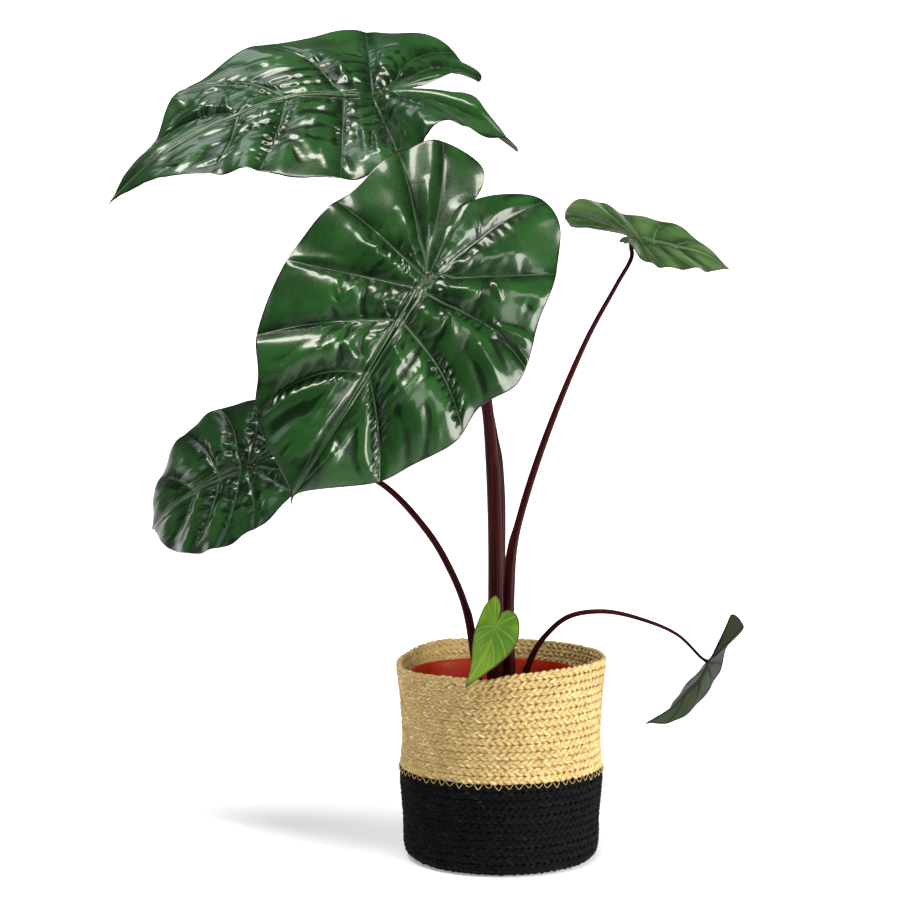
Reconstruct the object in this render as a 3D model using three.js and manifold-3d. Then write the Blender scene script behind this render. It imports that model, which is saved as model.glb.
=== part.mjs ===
// Potted alocasia: six glossy heart-shaped leaves on dark stems, standing in a plastic
// nursery pot filled with soil, inside a two-tone jute basket. Millimetres, +Z up.
// Origin: centre of the basket's underside. -Y is the front.
import * as THREE from 'three';
import { mergeVertices } from 'three/addons/utils/BufferGeometryUtils.js';
import Module from 'manifold-3d';

const wasm = await Module();
wasm.setup();

// Basket
const BASKET_HEIGHT = 180;
const COLOUR_CHANGE = 82;
const BASKET_WALL = 6.5;
const BASKET_FLOOR = 6;
const ROWS_NATURAL = 10;
const ROWS_BLACK = 8;
const ROW_BULGE = 1.3;
const BASKET_SEGMENTS = 34;
const POT_SEGMENTS = 32;
const SEAT_GAP = 0.3;

// Nursery pot and soil
const POT_CENTRE_X = -5;
const POT_TOP = 166;
const POT_RIM_RADIUS = 79;
const POT_BASE_RADIUS = 60;
const POT_WALL = 1.8;
const POT_LIP = 9;
const DRAIN_RADIUS = 5;
const DRAIN_COUNT = 6;
const SOIL_TOP = 140;
const SOIL_GAP = 0.3;
const HOLE_CLEARANCE = 0.35;

// Blades
const BLADE_THICKNESS = 1.1;
const KNEE_FLAT = 4;
const KNEE_BLEND = 9;
const VEIN_FEET = [0, 0, 0, 0.05, 0.22, 0.45];
const TIP_HALF_WIDTH = 1.8;

function material(colour, roughness, metalness = 0) {
  return new THREE.MeshStandardMaterial({ color: colour, roughness, metalness });
}

function weld(geometry) {
  geometry.deleteAttribute('normal');
  geometry.deleteAttribute('uv');
  return mergeVertices(geometry, 1e-4);
}

function toSolid(geometry) {
  const welded = weld(geometry.clone());
  const mesh = new wasm.Mesh({
    numProp: 3,
    vertProperties: new Float32Array(welded.attributes.position.array),
    triVerts: new Uint32Array(welded.index.array),
  });
  return new wasm.Manifold(mesh);
}

function fromSolid(solid) {
  const mesh = solid.getMesh();
  const geometry = new THREE.BufferGeometry();
  geometry.setAttribute('position', new THREE.BufferAttribute(mesh.vertProperties, 3));
  geometry.setIndex(new THREE.BufferAttribute(mesh.triVerts, 1));
  geometry.computeVertexNormals();
  return geometry;
}

function vector(point) {
  return new THREE.Vector3(...point);
}

// A closed ring profile turned round Z, given as [radius, height] pairs.
function turned(profile, segments) {
  const points = profile.map(([radius, height]) => new THREE.Vector2(radius, height));
  const geometry = weld(new THREE.LatheGeometry(points, segments));
  geometry.rotateX(Math.PI / 2);
  return geometry;
}

// The basket's outer radius, from its rounded foot over the waist to the flared rim.
const basketOutline = new THREE.SplineCurve([
  new THREE.Vector2(83.5, 0),
  new THREE.Vector2(87.6, 12),
  new THREE.Vector2(88.6, 38),
  new THREE.Vector2(91.4, 76),
  new THREE.Vector2(89.4, 104),
  new THREE.Vector2(91, 140),
  new THREE.Vector2(95.2, BASKET_HEIGHT),
]);
const outlineSamples = basketOutline.getPoints(120);

function basketRadius(height) {
  for (let i = 1; i < outlineSamples.length; i += 1) {
    const low = outlineSamples[i - 1];
    const high = outlineSamples[i];
    if (height <= high.y) {
      return THREE.MathUtils.mapLinear(height, low.y, high.y, low.x, high.x);
    }
  }
  return outlineSamples[outlineSamples.length - 1].x;
}

// Braided rows: a groove at each seam and a rounded crest between.
function braidedRows(from, to, rows) {
  const points = [];
  const pitch = (to - from) / rows;
  for (let row = 0; row < rows; row += 1) {
    const seam = from + row * pitch;
    points.push([basketRadius(seam) - 0.4, seam]);
    points.push([basketRadius(seam + pitch * 0.5) + ROW_BULGE - 0.4, seam + pitch * 0.5]);
  }
  points.push([basketRadius(to) - 0.4, to]);
  return points;
}

// The rim is soft: it sags a little at the front left, and stands up at the front right
// and at the back, most at the back left.
function softenRim(geometry) {
  const position = geometry.attributes.position;
  for (let i = 0; i < position.count; i += 1) {
    const point = new THREE.Vector3().fromBufferAttribute(position, i);
    const share = (point.z - COLOUR_CHANGE) / (BASKET_HEIGHT - COLOUR_CHANGE);
    const angle = Math.atan2(point.x, -point.y);
    const sag = -4 * Math.exp(-(((angle + 0.2) / 0.2) ** 2));
    const back = 5.5 * Math.max(0, -Math.cos(angle)) ** 0.8;
    const corner = 3.5 * Math.exp(-(((angle + 2.45) / 0.35) ** 2));
    const wave = 3.6 * Math.sin(angle) + 1.8 * Math.sin(2 * angle + 0.2) + sag + back + corner;
    point.z += wave * Math.max(share, 0) ** 2;
    position.setXYZ(i, point.x, point.y, point.z);
  }
  return geometry;
}

function naturalBasket() {
  const low = COLOUR_CHANGE + SEAT_GAP / 2;
  const outer = braidedRows(low, BASKET_HEIGHT - 3, ROWS_NATURAL);
  const rim = basketRadius(BASKET_HEIGHT);
  const inner = [];
  for (const height of [176, 158, 138, 110, low]) {
    inner.push([basketRadius(height) - BASKET_WALL, height]);
  }
  const profile = [...outer, [rim - 1.5, BASKET_HEIGHT], [rim - 4.5, BASKET_HEIGHT], ...inner];
  profile.push(profile[0]);
  return softenRim(turned(profile, BASKET_SEGMENTS));
}

function blackBasket() {
  const high = COLOUR_CHANGE - SEAT_GAP / 2;
  const profile = [[0, 0], [80, 0], [84.5, 1.6]];
  profile.push(...braidedRows(4.5, high, ROWS_BLACK));
  profile.push([basketRadius(high) - BASKET_WALL, high]);
  profile.push([basketRadius(40) - BASKET_WALL, 40]);
  profile.push([basketRadius(14) - BASKET_WALL, 12]);
  profile.push([76, BASKET_FLOOR], [0, BASKET_FLOOR]);
  return turned(profile, BASKET_SEGMENTS);
}

// The pot's wall leans out from its base to its lip.
function potRadius(height) {
  const low = BASKET_FLOOR + SEAT_GAP;
  return THREE.MathUtils.mapLinear(height, low, POT_TOP - POT_LIP, POT_BASE_RADIUS, POT_RIM_RADIUS - 3);
}

function nurseryPot() {
  const low = BASKET_FLOOR + SEAT_GAP;
  const floor = low + 2;
  const lip = POT_TOP - POT_LIP;
  const profile = [
    [0, low], [POT_BASE_RADIUS, low], [potRadius(lip), lip], [POT_RIM_RADIUS, lip + 0.6],
    [POT_RIM_RADIUS, POT_TOP - 0.8], [POT_RIM_RADIUS - 0.8, POT_TOP],
    [POT_RIM_RADIUS - 2.2, POT_TOP], [POT_RIM_RADIUS - 3 - POT_WALL, lip + 1],
    [potRadius(floor) - POT_WALL, floor], [0, floor],
  ];
  let solid = toSolid(turned(profile, POT_SEGMENTS));
  for (let i = 0; i < DRAIN_COUNT; i += 1) {
    const angle = (i / DRAIN_COUNT) * 2 * Math.PI;
    const hole = new THREE.CylinderGeometry(DRAIN_RADIUS, DRAIN_RADIUS, 12, 10);
    hole.rotateX(Math.PI / 2);
    hole.translate(42 * Math.cos(angle), 42 * Math.sin(angle), low + 1);
    solid = solid.subtract(toSolid(hole));
  }
  return fromSolid(solid).translate(POT_CENTRE_X, 0, 0);
}

// Stems. Each path runs from its foot in the soil to the underside of its blade.
// radii: [share of the length, radius]; sheath: where the clasping sheath ends,
// how far it stands out, and the side it stands out on.
const STEMS = {
  top_left: {
    path: [[-1, 3, 118], [-2, 4, 150], [-3, 6, 229], [-3, 17, 325], [-8, 25, 378], [-21, 36, 436],
      [-44, 50, 509], [-81, 72, 602], [-106, 87, 660]],
    radii: [[0, 5], [0.06, 7], [0.3, 5.8], [0.6, 4.8], [1, 3.4]],
    sheath: { end: 0.42, out: 1.6, side: 0.3 },
    rings: 20,
  },
  centre: {
    path: [[-5, -17, 118], [-6, -18, 150], [-6, -24, 238], [-8, -38, 329], [-14, -60, 407],
      [-20, -72, 437], [-32, -84, 471], [-51, -95, 500]],
    radii: [[0, 5], [0.08, 7.2], [0.4, 5.9], [0.7, 5], [1, 3.4]],
    sheath: { end: 0.55, out: 1.4, side: 0.2 },
    rings: 18,
  },
  low_left: {
    path: [[-19, -6, 120], [-21, -6, 150], [-26, -6, 194], [-33, -4, 227], [-46, 0, 258],
      [-66, 6, 291], [-107, 17, 333], [-150, 28, 350], [-190, 42, 346], [-219, 47, 334]],
    radii: [[0, 3], [0.1, 4], [0.35, 3.2], [1, 1.9]],
    sheath: { end: 0.27, out: 1.1, side: 0 },
    rings: 22,
  },
  top_right: {
    path: [[9, -8, 118], [8, -8, 150], [6, -7, 225], [10, -4, 275], [22, 0, 323], [46, 6, 392],
      [78, 13, 466], [104, 18, 513], [118, 22, 539]],
    radii: [[0, 4], [0.08, 5.4], [0.25, 5.6], [0.4, 3.4], [1, 1.9]],
    sheath: { end: 0.38, out: 1.5, side: Math.PI },
    rings: 20,
  },
  low_right: {
    path: [[16, 4, 122], [18, 2, 150], [28, -1, 180], [40, -4, 199], [60, -7, 216], [91, -9, 221],
      [124, -11, 216], [158, -13, 202]],
    radii: [[0, 2.6], [0.12, 3.2], [0.4, 2.3], [1, 1.3]],
    sheath: { end: 0.2, out: 0.8, side: 0 },
    rings: 24,
  },
  young: {
    path: [[5, -26, 122], [6, -29, 150], [6, -42, 176], [4, -58, 196]],
    radii: [[0, 1.8], [0.3, 2.2], [1, 1.2]],
    sheath: { end: 0.3, out: 0.6, side: 0 },
    rings: 8,
  },
};

// Blades. knee: where the stem meets the blade; midrib: three points and the tip;
// left and right: the margin from the lobe's inner edge round to the shoulder of the
// tip; ends: which of these points a vein runs to (knee counted as 0); arch: how high
// the left and right lobe rise; quilt: how high the blade swells between its veins;
// wave: how far its margin waves; drip: tip length.
const SIX_VEINS = [3, 4, 6, 7, 8, 9];
const LEAVES = {
  top_left: {
    knee: [-117, 75, 688],
    midrib: [[-187, 59, 686], [-249, 42, 663], [-302, 26, 631], [-348, 14, 589]],
    left: [[-64, 71, 692], [-28, 62, 686], [-12, 44, 670], [15, 40, 634], [1, 14, 643],
      [-16, -10, 646], [-57, -41, 648], [-88, -38, 618], [-141, -41, 603], [-213, -36, 610],
      [-295, -12, 604]],
    right: [[-71, 96, 702], [-35, 124, 716], [-16, 152, 714], [-41, 182, 743], [-80, 185, 762],
      [-128, 187, 764], [-226, 152, 746], [-296, 118, 700], [-324, 62, 638]],
    leftEnds: [4, 6, 8, 9, 10, 11],
    feet: [0, 0, 0, 0.1, 0.3, 0.54],
    arch: [14, 10], quilt: 5, wave: 2.4, drip: 7, rows: 8, columns: 4,
    colour: 0x1d4a22,
  },
  centre: {
    knee: [-65, -130, 513],
    midrib: [[-92, -149, 469], [-125, -169, 414], [-154, -182, 368], [-172, -188, 339]],
    left: [[-46, -117, 543], [-25, -101, 571], [29, -75, 583], [47, -79, 560], [44, -95, 520],
      [30, -112, 483], [10, -134, 427], [-21, -147, 408], [-41, -158, 380],
      [-77, -169, 361], [-103, -176, 348]],
    right: [[-43, -111, 552], [-19, -88, 591], [-20, -79, 612], [-52, -76, 631],
      [-90, -88, 622], [-125, -109, 589], [-147, -120, 572], [-180, -140, 528],
      [-203, -161, 466], [-201, -172, 435], [-202, -178, 402]],
    leftEnds: [3, 4, 5, 7, 9, 11],
    rightEnds: [4, 5, 7, 8, 9, 11],
    arch: [3, 3], quilt: 5, wave: 2.4, drip: 6, rows: 8, columns: 4,
    colour: 0x1f4a25,
  },
  low_left: {
    knee: [-230, 30, 348],
    midrib: [[-260, 44, 336], [-286, 62, 321], [-309, 83, 304], [-328, 107, 286]],
    left: [[-204, 18, 356], [-183, 1, 355], [-173, -17, 345], [-183, -24, 328],
      [-201, -23, 311], [-220, -18, 295], [-253, 0, 277], [-281, 29, 269], [-308, 68, 270]],
    right: [[-203, 21, 359], [-182, 20, 374], [-170, 28, 392], [-181, 45, 403], [-201, 59, 406],
      [-222, 71, 408], [-261, 88, 399], [-297, 101, 374], [-323, 111, 330]],
    arch: [2, 2], quilt: 3, wave: 1.5, drip: 4, rows: 6, columns: 3,
    colour: 0x1c4523,
  },
  top_right: {
    knee: [121, 20, 554],
    midrib: [[141, 45, 552], [164, 65, 549], [191, 85, 543], [215, 100, 531]],
    left: [[108, 10, 561], [84, 2, 563], [61, -4, 564], [57, 10, 577], [68, 21, 589],
      [93, 68, 590], [122, 89, 580], [162, 106, 574], [193, 112, 554]],
    right: [[114, 8, 553], [106, -8, 553], [104, -22, 549], [109, -30, 548], [117, -32, 539],
      [127, -29, 531], [143, -21, 527], [169, 10, 527], [195, 58, 527]],
    arch: [5, 0], quilt: 2.4, wave: 1.2, drip: 3, rows: 6, columns: 3,
    colour: 0x3a5f3a,
  },
  low_right: {
    knee: [186, -10, 175],
    midrib: [[178, -16, 162], [166, -22, 151], [151, -28, 138], [129, -34, 126]],
    left: [[192, 2, 180], [200, 8, 188], [207, 18, 205], [205, 27, 194], [197, 30, 178],
      [185, 32, 165], [166, 21, 147], [153, 4, 133], [141, -14, 124]],
    right: [[191, -14, 183], [199, -22, 197], [203, -30, 221], [212, -42, 212], [197, -48, 197],
      [191, -53, 179], [181, -55, 160], [164, -52, 139], [146, -44, 127]],
    arch: [0, 0], quilt: 1.2, wave: 0.6, drip: 4, rows: 5, columns: 3,
    colour: 0x3c4640,
  },
  young: {
    knee: [-7, -88, 219],
    midrib: [[-11, -92, 207], [-18, -97, 193], [-25, -100, 181], [-31, -102, 171]],
    left: [[-3, -86, 225], [-1, -85, 230], [4, -86, 232], [11, -91, 228], [13, -98, 217],
      [10, -103, 205], [1, -105, 194], [-10, -105, 185], [-21, -104, 177]],
    right: [[-4, -85, 227], [-3, -80, 237], [-7, -74, 243], [-14, -73, 237], [-20, -76, 226],
      [-25, -82, 213], [-27, -87, 201], [-28, -94, 188], [-30, -99, 178]],
    arch: [0, 0], quilt: 0.6, wave: 0.3, drip: 2, rows: 4, columns: 2,
    colour: 0x7fa046,
  },
};

// The blade's own axes at the knee: along the midrib, to its left, and out of its face.
function kneeFrame(leaf) {
  const knee = vector(leaf.knee);
  const along = vector(leaf.midrib[0]).sub(knee).normalize();
  const across = vector(leaf.left[leaf.left.length - 4])
    .sub(vector(leaf.right[leaf.right.length - 4]))
    .normalize();
  const normal = new THREE.Vector3().crossVectors(along, across).normalize();
  return { knee, along, normal };
}

// The share of a curve's length at which radii and swellings are read.
function readRadius(radii, share) {
  for (let i = 1; i < radii.length; i += 1) {
    if (share <= radii[i][0]) {
      const [fromShare, fromRadius] = radii[i - 1];
      const [toShare, toRadius] = radii[i];
      const step = THREE.MathUtils.smoothstep(share, fromShare, toShare);
      return THREE.MathUtils.lerp(fromRadius, toRadius, step);
    }
  }
  return radii[radii.length - 1][1];
}

// A stem: a closed cylinder bent along its path. Its sheath clasps the lower part on
// one side and ends in a small step; its top lands square on the blade's underside.
function stem(name, grow = 0) {
  const { path, radii, sheath, rings } = STEMS[name];
  const { knee, normal } = kneeFrame(LEAVES[name]);
  const seat = knee.clone().addScaledVector(normal, -(BLADE_THICKNESS / 2 + SEAT_GAP));
  const approach = seat.clone().addScaledVector(normal, -7);
  const curve = new THREE.CatmullRomCurve3([...path.map(vector), approach, seat], false, 'centripetal');
  const sides = 8;
  const geometry = weld(new THREE.CylinderGeometry(1, 1, 1, sides, rings));
  const frames = curve.computeFrenetFrames(rings, false);
  const position = geometry.attributes.position;
  for (let i = 0; i < position.count; i += 1) {
    const local = new THREE.Vector3().fromBufferAttribute(position, i);
    const ring = Math.round((local.y + 0.5) * rings);
    const share = ring / rings;
    const centre = curve.getPointAt(share);
    const outward = new THREE.Vector3()
      .addScaledVector(frames.normals[ring], local.x)
      .addScaledVector(frames.binormals[ring], local.z);
    if (outward.lengthSq() > 1e-6) {
      const facing = Math.max(0, outward.x * Math.cos(sheath.side) + outward.y * Math.sin(sheath.side));
      const clasp = share < sheath.end ? sheath.out * facing * (share / sheath.end) : 0;
      outward.setLength(readRadius(radii, share) + clasp + grow);
    }
    if (ring === 0) {
      centre.z -= grow;
    }
    position.setXYZ(i, centre.x + outward.x, centre.y + outward.y, centre.z + outward.z);
  }
  geometry.computeVertexNormals();
  const volume = toSolid(geometry).volume();
  if (volume < 0) {
    geometry.setIndex(Array.from(geometry.index.array).reverse());
  }
  return geometry;
}

// Smooth line of one half's margin, with the tip's shoulder and drip point added.
function marginCurve(leaf, side, spine) {
  const points = side > 0 ? leaf.left : leaf.right;
  const tip = spine(1);
  const before = spine(0.97);
  const run = tip.clone().sub(before).normalize();
  const last = vector(points[points.length - 1]);
  const outward = last.sub(tip).projectOnPlane(run).normalize();
  const shoulder = tip.clone().addScaledVector(outward, TIP_HALF_WIDTH);
  const all = [vector(leaf.knee), ...points.map(vector), shoulder, spine(2)];
  return new THREE.CatmullRomCurve3(all, false, 'centripetal');
}

// Columns of one half: each runs from a foot on the midrib to a point of the margin.
// phase is 0 and 1 on a vein and 0.5 halfway between two; arch is the share of the
// lobe's arch that the column takes.
function bladeColumns(leaf, ends) {
  const feet = leaf.feet ?? VEIN_FEET;
  const shoulder = ends[5] + 1;
  const columns = [
    { at: 1, foot: 0, phase: 0, arch: 0 },
    { at: 2, foot: 0, phase: 0.25, arch: 0.1 },
    { at: (2 + ends[0]) / 2, foot: 0, phase: 0.6, arch: 0.65 },
    { at: ends[0], foot: 0, phase: 1, arch: 1 },
  ];
  for (let i = 1; i < ends.length; i += 1) {
    for (let j = 1; j <= leaf.columns; j += 1) {
      const phase = j / leaf.columns;
      columns.push({
        at: THREE.MathUtils.lerp(ends[i - 1], ends[i], phase),
        foot: THREE.MathUtils.lerp(feet[i - 1], feet[i], phase),
        phase,
        arch: Math.max(0, 1 - (i - 1 + phase) / 2),
      });
    }
  }
  for (const step of [0.3, 0.6, 0.85, 1]) {
    columns.push({
      at: THREE.MathUtils.lerp(ends[5], shoulder, step),
      foot: THREE.MathUtils.lerp(feet[5], 1, step),
      phase: step * 0.5,
      arch: 0,
    });
  }
  columns.push({ at: shoulder + 1, foot: 2, phase: 1, arch: 0 });
  return columns;
}

function blade(name) {
  const leaf = LEAVES[name];
  const { knee, normal } = kneeFrame(leaf);
  const midrib = new THREE.CatmullRomCurve3([knee, ...leaf.midrib.map(vector)], false, 'centripetal');
  const tip = midrib.getPointAt(1);
  const tipRun = midrib.getTangentAt(1);
  const spine = (foot) => (foot <= 1
    ? midrib.getPointAt(foot)
    : tip.clone().addScaledVector(tipRun, leaf.drip * (foot - 1)));

  const points = [];
  const swellings = [];
  const triangles = [];
  const known = new Map();
  const addPoint = (point, swelling) => {
    const key = `${point.x.toFixed(3)},${point.y.toFixed(3)},${point.z.toFixed(3)}`;
    if (!known.has(key)) {
      known.set(key, points.length);
      points.push(point);
      swellings.push(swelling);
    }
    return known.get(key);
  };

  for (const side of [1, -1]) {
    const ends = (side > 0 ? leaf.leftEnds : leaf.rightEnds) ?? SIX_VEINS;
    const margin = marginCurve(leaf, side, spine);
    const columns = bladeColumns(leaf, ends);
    const lobeArch = leaf.arch[side > 0 ? 0 : 1];
    const grid = columns.map(({ at, foot, phase, arch }) => {
      const start = spine(foot);
      const end = margin.getPoint(at / (ends[5] + 2));
      const width = start.distanceTo(end);
      const line = [];
      for (let row = 0; row <= leaf.rows; row += 1) {
        const out = row / leaf.rows;
        const point = start.clone().lerp(end, out);
        point.addScaledVector(normal, lobeArch * arch * Math.sin(Math.PI * out) ** 0.8);
        const bulge = leaf.quilt * Math.sin(Math.PI * phase) ** 0.8 * Math.sin(Math.PI * out) ** 0.7;
        const ripple = leaf.wave * Math.sin(2 * Math.PI * phase) * out ** 4;
        const narrow = Math.min(1, width / 40);
        line.push(addPoint(point, (bulge + ripple) * narrow));
      }
      return line;
    });
    for (let i = 1; i < grid.length; i += 1) {
      for (let row = 1; row <= leaf.rows; row += 1) {
        const a = grid[i - 1][row - 1];
        const b = grid[i - 1][row];
        const c = grid[i][row];
        const d = grid[i][row - 1];
        for (const triangle of [[a, b, c], [a, c, d]]) {
          if (new Set(triangle).size === 3) {
            triangles.push(side > 0 ? triangle.reverse() : triangle);
          }
        }
      }
    }
  }

  const surfaceNormals = () => {
    const sheet = new THREE.BufferGeometry().setFromPoints(points);
    sheet.setIndex(triangles.flat());
    sheet.computeVertexNormals();
    return points.map((_, i) => new THREE.Vector3().fromBufferAttribute(sheet.attributes.normal, i));
  };
  surfaceNormals().forEach((direction, i) => points[i].addScaledVector(direction, swellings[i]));

  // The blade lies flat where the stem meets it.
  points.forEach((point) => {
    const offset = point.clone().sub(knee);
    const reach = offset.length();
    const flat = 1 - THREE.MathUtils.smoothstep(reach, KNEE_FLAT, KNEE_BLEND + KNEE_FLAT);
    point.addScaledVector(normal, -offset.dot(normal) * flat);
  });

  const count = points.length;
  const half = BLADE_THICKNESS / 2;
  const normals = surfaceNormals();
  const faces = [
    ...points.map((point, i) => point.clone().addScaledVector(normals[i], half)),
    ...points.map((point, i) => point.clone().addScaledVector(normals[i], -half)),
  ];
  const edges = new Map();
  for (const [a, b, c] of triangles) {
    for (const [from, to] of [[a, b], [b, c], [c, a]]) {
      edges.set(`${from},${to}`, [from, to]);
    }
  }
  const index = [];
  for (const [a, b, c] of triangles) {
    index.push(a, b, c, c + count, b + count, a + count);
  }
  for (const [from, to] of edges.values()) {
    if (!edges.has(`${to},${from}`)) {
      index.push(from, from + count, to, to, from + count, to + count);
    }
  }
  const geometry = new THREE.BufferGeometry().setFromPoints(faces);
  geometry.setIndex(index);
  geometry.computeVertexNormals();
  return geometry;
}

// Soil: fills the pot to a low uneven mound, with a plain hole for each stem.
function soil() {
  const low = BASKET_FLOOR + SEAT_GAP + 2 + SOIL_GAP;
  const inside = (height) => potRadius(height) - POT_WALL - SOIL_GAP;
  const profile = [
    [0, low], [inside(low), low], [inside(SOIL_TOP - 3), SOIL_TOP - 3],
    [58, SOIL_TOP - 1.5], [36, SOIL_TOP + 1.5], [16, SOIL_TOP + 3], [0, SOIL_TOP + 3.5],
  ];
  const mound = turned(profile, POT_SEGMENTS);
  const position = mound.attributes.position;
  for (let i = 0; i < position.count; i += 1) {
    const x = position.getX(i);
    const y = position.getY(i);
    if (position.getZ(i) > SOIL_TOP - 2) {
      position.setZ(i, position.getZ(i) + 1.2 * Math.sin(x * 0.13) * Math.cos(y * 0.11 + 1));
    }
  }
  let solid = toSolid(mound.translate(POT_CENTRE_X, 0, 0));
  for (const name of Object.keys(STEMS)) {
    solid = solid.subtract(toSolid(stem(name, HOLE_CLEARANCE)));
  }
  return fromSolid(solid);
}

const plant = new THREE.Group();

function place(name, geometry, look) {
  const mesh = new THREE.Mesh(geometry, look);
  mesh.name = name;
  plant.add(mesh);
}

place('basket_natural', naturalBasket(), material(0xc8ac72, 0.9));
place('basket_black', blackBasket(), material(0x1b1c1f, 0.85));
place('nursery_pot', nurseryPot(), material(0xb23a20, 0.5));
place('soil', soil(), material(0x2c2019, 0.95));
for (const name of Object.keys(LEAVES)) {
  place(`stem_${name}`, stem(name), material(name === 'young' ? 0x4a2a24 : 0x2e1318, 0.4));
  place(`blade_${name}`, blade(name), material(LEAVES[name].colour, 0.3));
}

export default plant;
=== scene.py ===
import math
import random

import bmesh
import bpy
import numpy as np
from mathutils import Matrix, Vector, noise


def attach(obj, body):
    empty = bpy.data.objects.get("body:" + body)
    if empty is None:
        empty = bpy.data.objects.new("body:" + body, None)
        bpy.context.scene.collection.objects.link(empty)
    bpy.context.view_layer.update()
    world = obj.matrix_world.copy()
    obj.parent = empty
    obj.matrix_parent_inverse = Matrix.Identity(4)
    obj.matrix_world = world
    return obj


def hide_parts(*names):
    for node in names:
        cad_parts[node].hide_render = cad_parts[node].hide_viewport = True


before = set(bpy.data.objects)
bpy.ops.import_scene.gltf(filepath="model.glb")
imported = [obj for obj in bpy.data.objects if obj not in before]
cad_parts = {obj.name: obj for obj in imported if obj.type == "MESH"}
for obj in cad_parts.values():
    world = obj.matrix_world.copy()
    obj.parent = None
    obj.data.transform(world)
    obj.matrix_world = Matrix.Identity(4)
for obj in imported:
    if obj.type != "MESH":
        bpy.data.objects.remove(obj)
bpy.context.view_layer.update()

# Camera: straight on to the basket from 1.8 m, at the height of the middle leaf and
# pitched down a little, with a long lens, as the photograph was taken.
SENSOR_MM = 36.0
PHOTO_WIDTH = 900
FOCAL_PIXELS = 2015
PITCH_DOWN = 0.05
lens = bpy.data.cameras.new("camera")
lens.sensor_width = SENSOR_MM
lens.lens = FOCAL_PIXELS / PHOTO_WIDTH * SENSOR_MM
lens.clip_start = 0.1
lens.clip_end = 50.0
camera = bpy.data.objects.new("camera", lens)
camera.location = (-0.046, -1.8, 0.455)
camera.rotation_euler = (math.pi / 2 - PITCH_DOWN, 0.0, 0.0)
bpy.context.scene.collection.objects.link(camera)
bpy.context.scene.camera = camera

# Studio: a sheet of white paper that runs along the floor and sweeps up behind the
# plant. It is only the stage and isn't part of the object. The paper glows, more towards
# the back, as painted light, and darkens towards the camera as painted shade.


class Signal:
    """One value in a material. Arithmetic on it adds Math nodes to that material."""

    def __init__(self, finish, socket):
        self.finish = finish
        self.socket = socket

    def __add__(self, other):
        return self.finish.maths("ADD", self, other)

    def __mul__(self, other):
        return self.finish.maths("MULTIPLY", self, other)

    def __rsub__(self, other):
        return self.finish.maths("SUBTRACT", other, self)


class Finish:
    """A procedural material under construction."""

    def __init__(self, name, constants):
        self.material = bpy.data.materials.new(name)
        self.material.use_nodes = True
        self.tree = self.material.node_tree
        self.tree.nodes.clear()
        self.shader = self.tree.nodes.new("ShaderNodeBsdfPrincipled")
        output = self.tree.nodes.new("ShaderNodeOutputMaterial")
        self.tree.links.new(self.shader.outputs[0], output.inputs["Surface"])
        for socket, value in constants.items():
            self.shader.inputs[socket].default_value = value

    def node(self, kind, settings=None, sockets=None, out=0):
        made = self.tree.nodes.new("ShaderNode" + kind)
        for name, value in (settings or {}).items():
            setattr(made, name, value)
        for name, value in (sockets or {}).items():
            self.plug(made.inputs[name], value)
        return Signal(self, made.outputs[out])

    def plug(self, socket, value):
        if isinstance(value, Signal):
            self.tree.links.new(value.socket, socket)
        elif socket.type == "RGBA" and len(value) == 3:
            socket.default_value = (*value, 1.0)
        else:
            socket.default_value = value

    def maths(self, operation, *values):
        return self.node("Math", {"operation": operation}, dict(enumerate(values)))

    def between(self, value, low, high, start=0.0, end=1.0):
        """value eased from start to end as it goes from low to high."""
        return self.node(
            "MapRange",
            {"interpolation_type": "SMOOTHSTEP"},
            {"Value": value, 1: low, 2: high, 3: start, 4: end},
        )

    def tint(self, share, first, second):
        """The first colour, with a share of the second over it."""
        return self.node("Mix", {"data_type": "RGBA"}, {0: share, 6: first, 7: second}, out=2)

    def place(self):
        return self.node("TexCoord", out="Object")

    def mark(self, name):
        return self.node("Attribute", {"attribute_name": name}, out="Vector")

    def part(self, vector, axis):
        return self.node("SeparateXYZ", {}, {"Vector": vector}, out=axis)

    def stretched(self, vector, scale):
        return self.node("Mapping", {}, {"Vector": vector, "Scale": scale})

    def grain(self, vector, scale, detail=3.0, roughness=0.5):
        settings = {"Vector": vector, "Scale": scale, "Detail": detail, "Roughness": roughness}
        return self.node("TexNoise", {}, settings)

    def wear(self, colour, roughness=None, coat=None):
        looks = {"Base Color": colour, "Roughness": roughness, "Coat Weight": coat}
        for socket, value in looks.items():
            if value is not None:
                self.plug(self.shader.inputs[socket], value)

    def relief(self, *layers):
        """Bumps, coarse ones first: (height, strength, distance in metres)."""
        under = None
        for height, strength, distance in layers:
            sockets = {"Height": height, "Strength": strength, "Distance": distance}
            if under is not None:
                sockets["Normal"] = under
            under = self.node("Bump", {}, sockets)
        self.plug(self.shader.inputs["Normal"], under)


def finished(name, bm, material, weld=0.0, smooth=True):
    """The bmesh as an object at the origin, with its faces turned outwards. Vertices
    closer than weld, in metres, become one."""
    if weld:
        bmesh.ops.remove_doubles(bm, verts=bm.verts[:], dist=weld)
    bmesh.ops.recalc_face_normals(bm, faces=bm.faces[:])
    mesh = bpy.data.meshes.new(name)
    bm.to_mesh(mesh)
    bm.free()
    mesh.materials.append(material.material)
    if smooth:
        mesh.shade_smooth()
    made = bpy.data.objects.new(name, mesh)
    bpy.context.scene.collection.objects.link(made)
    return made


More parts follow.
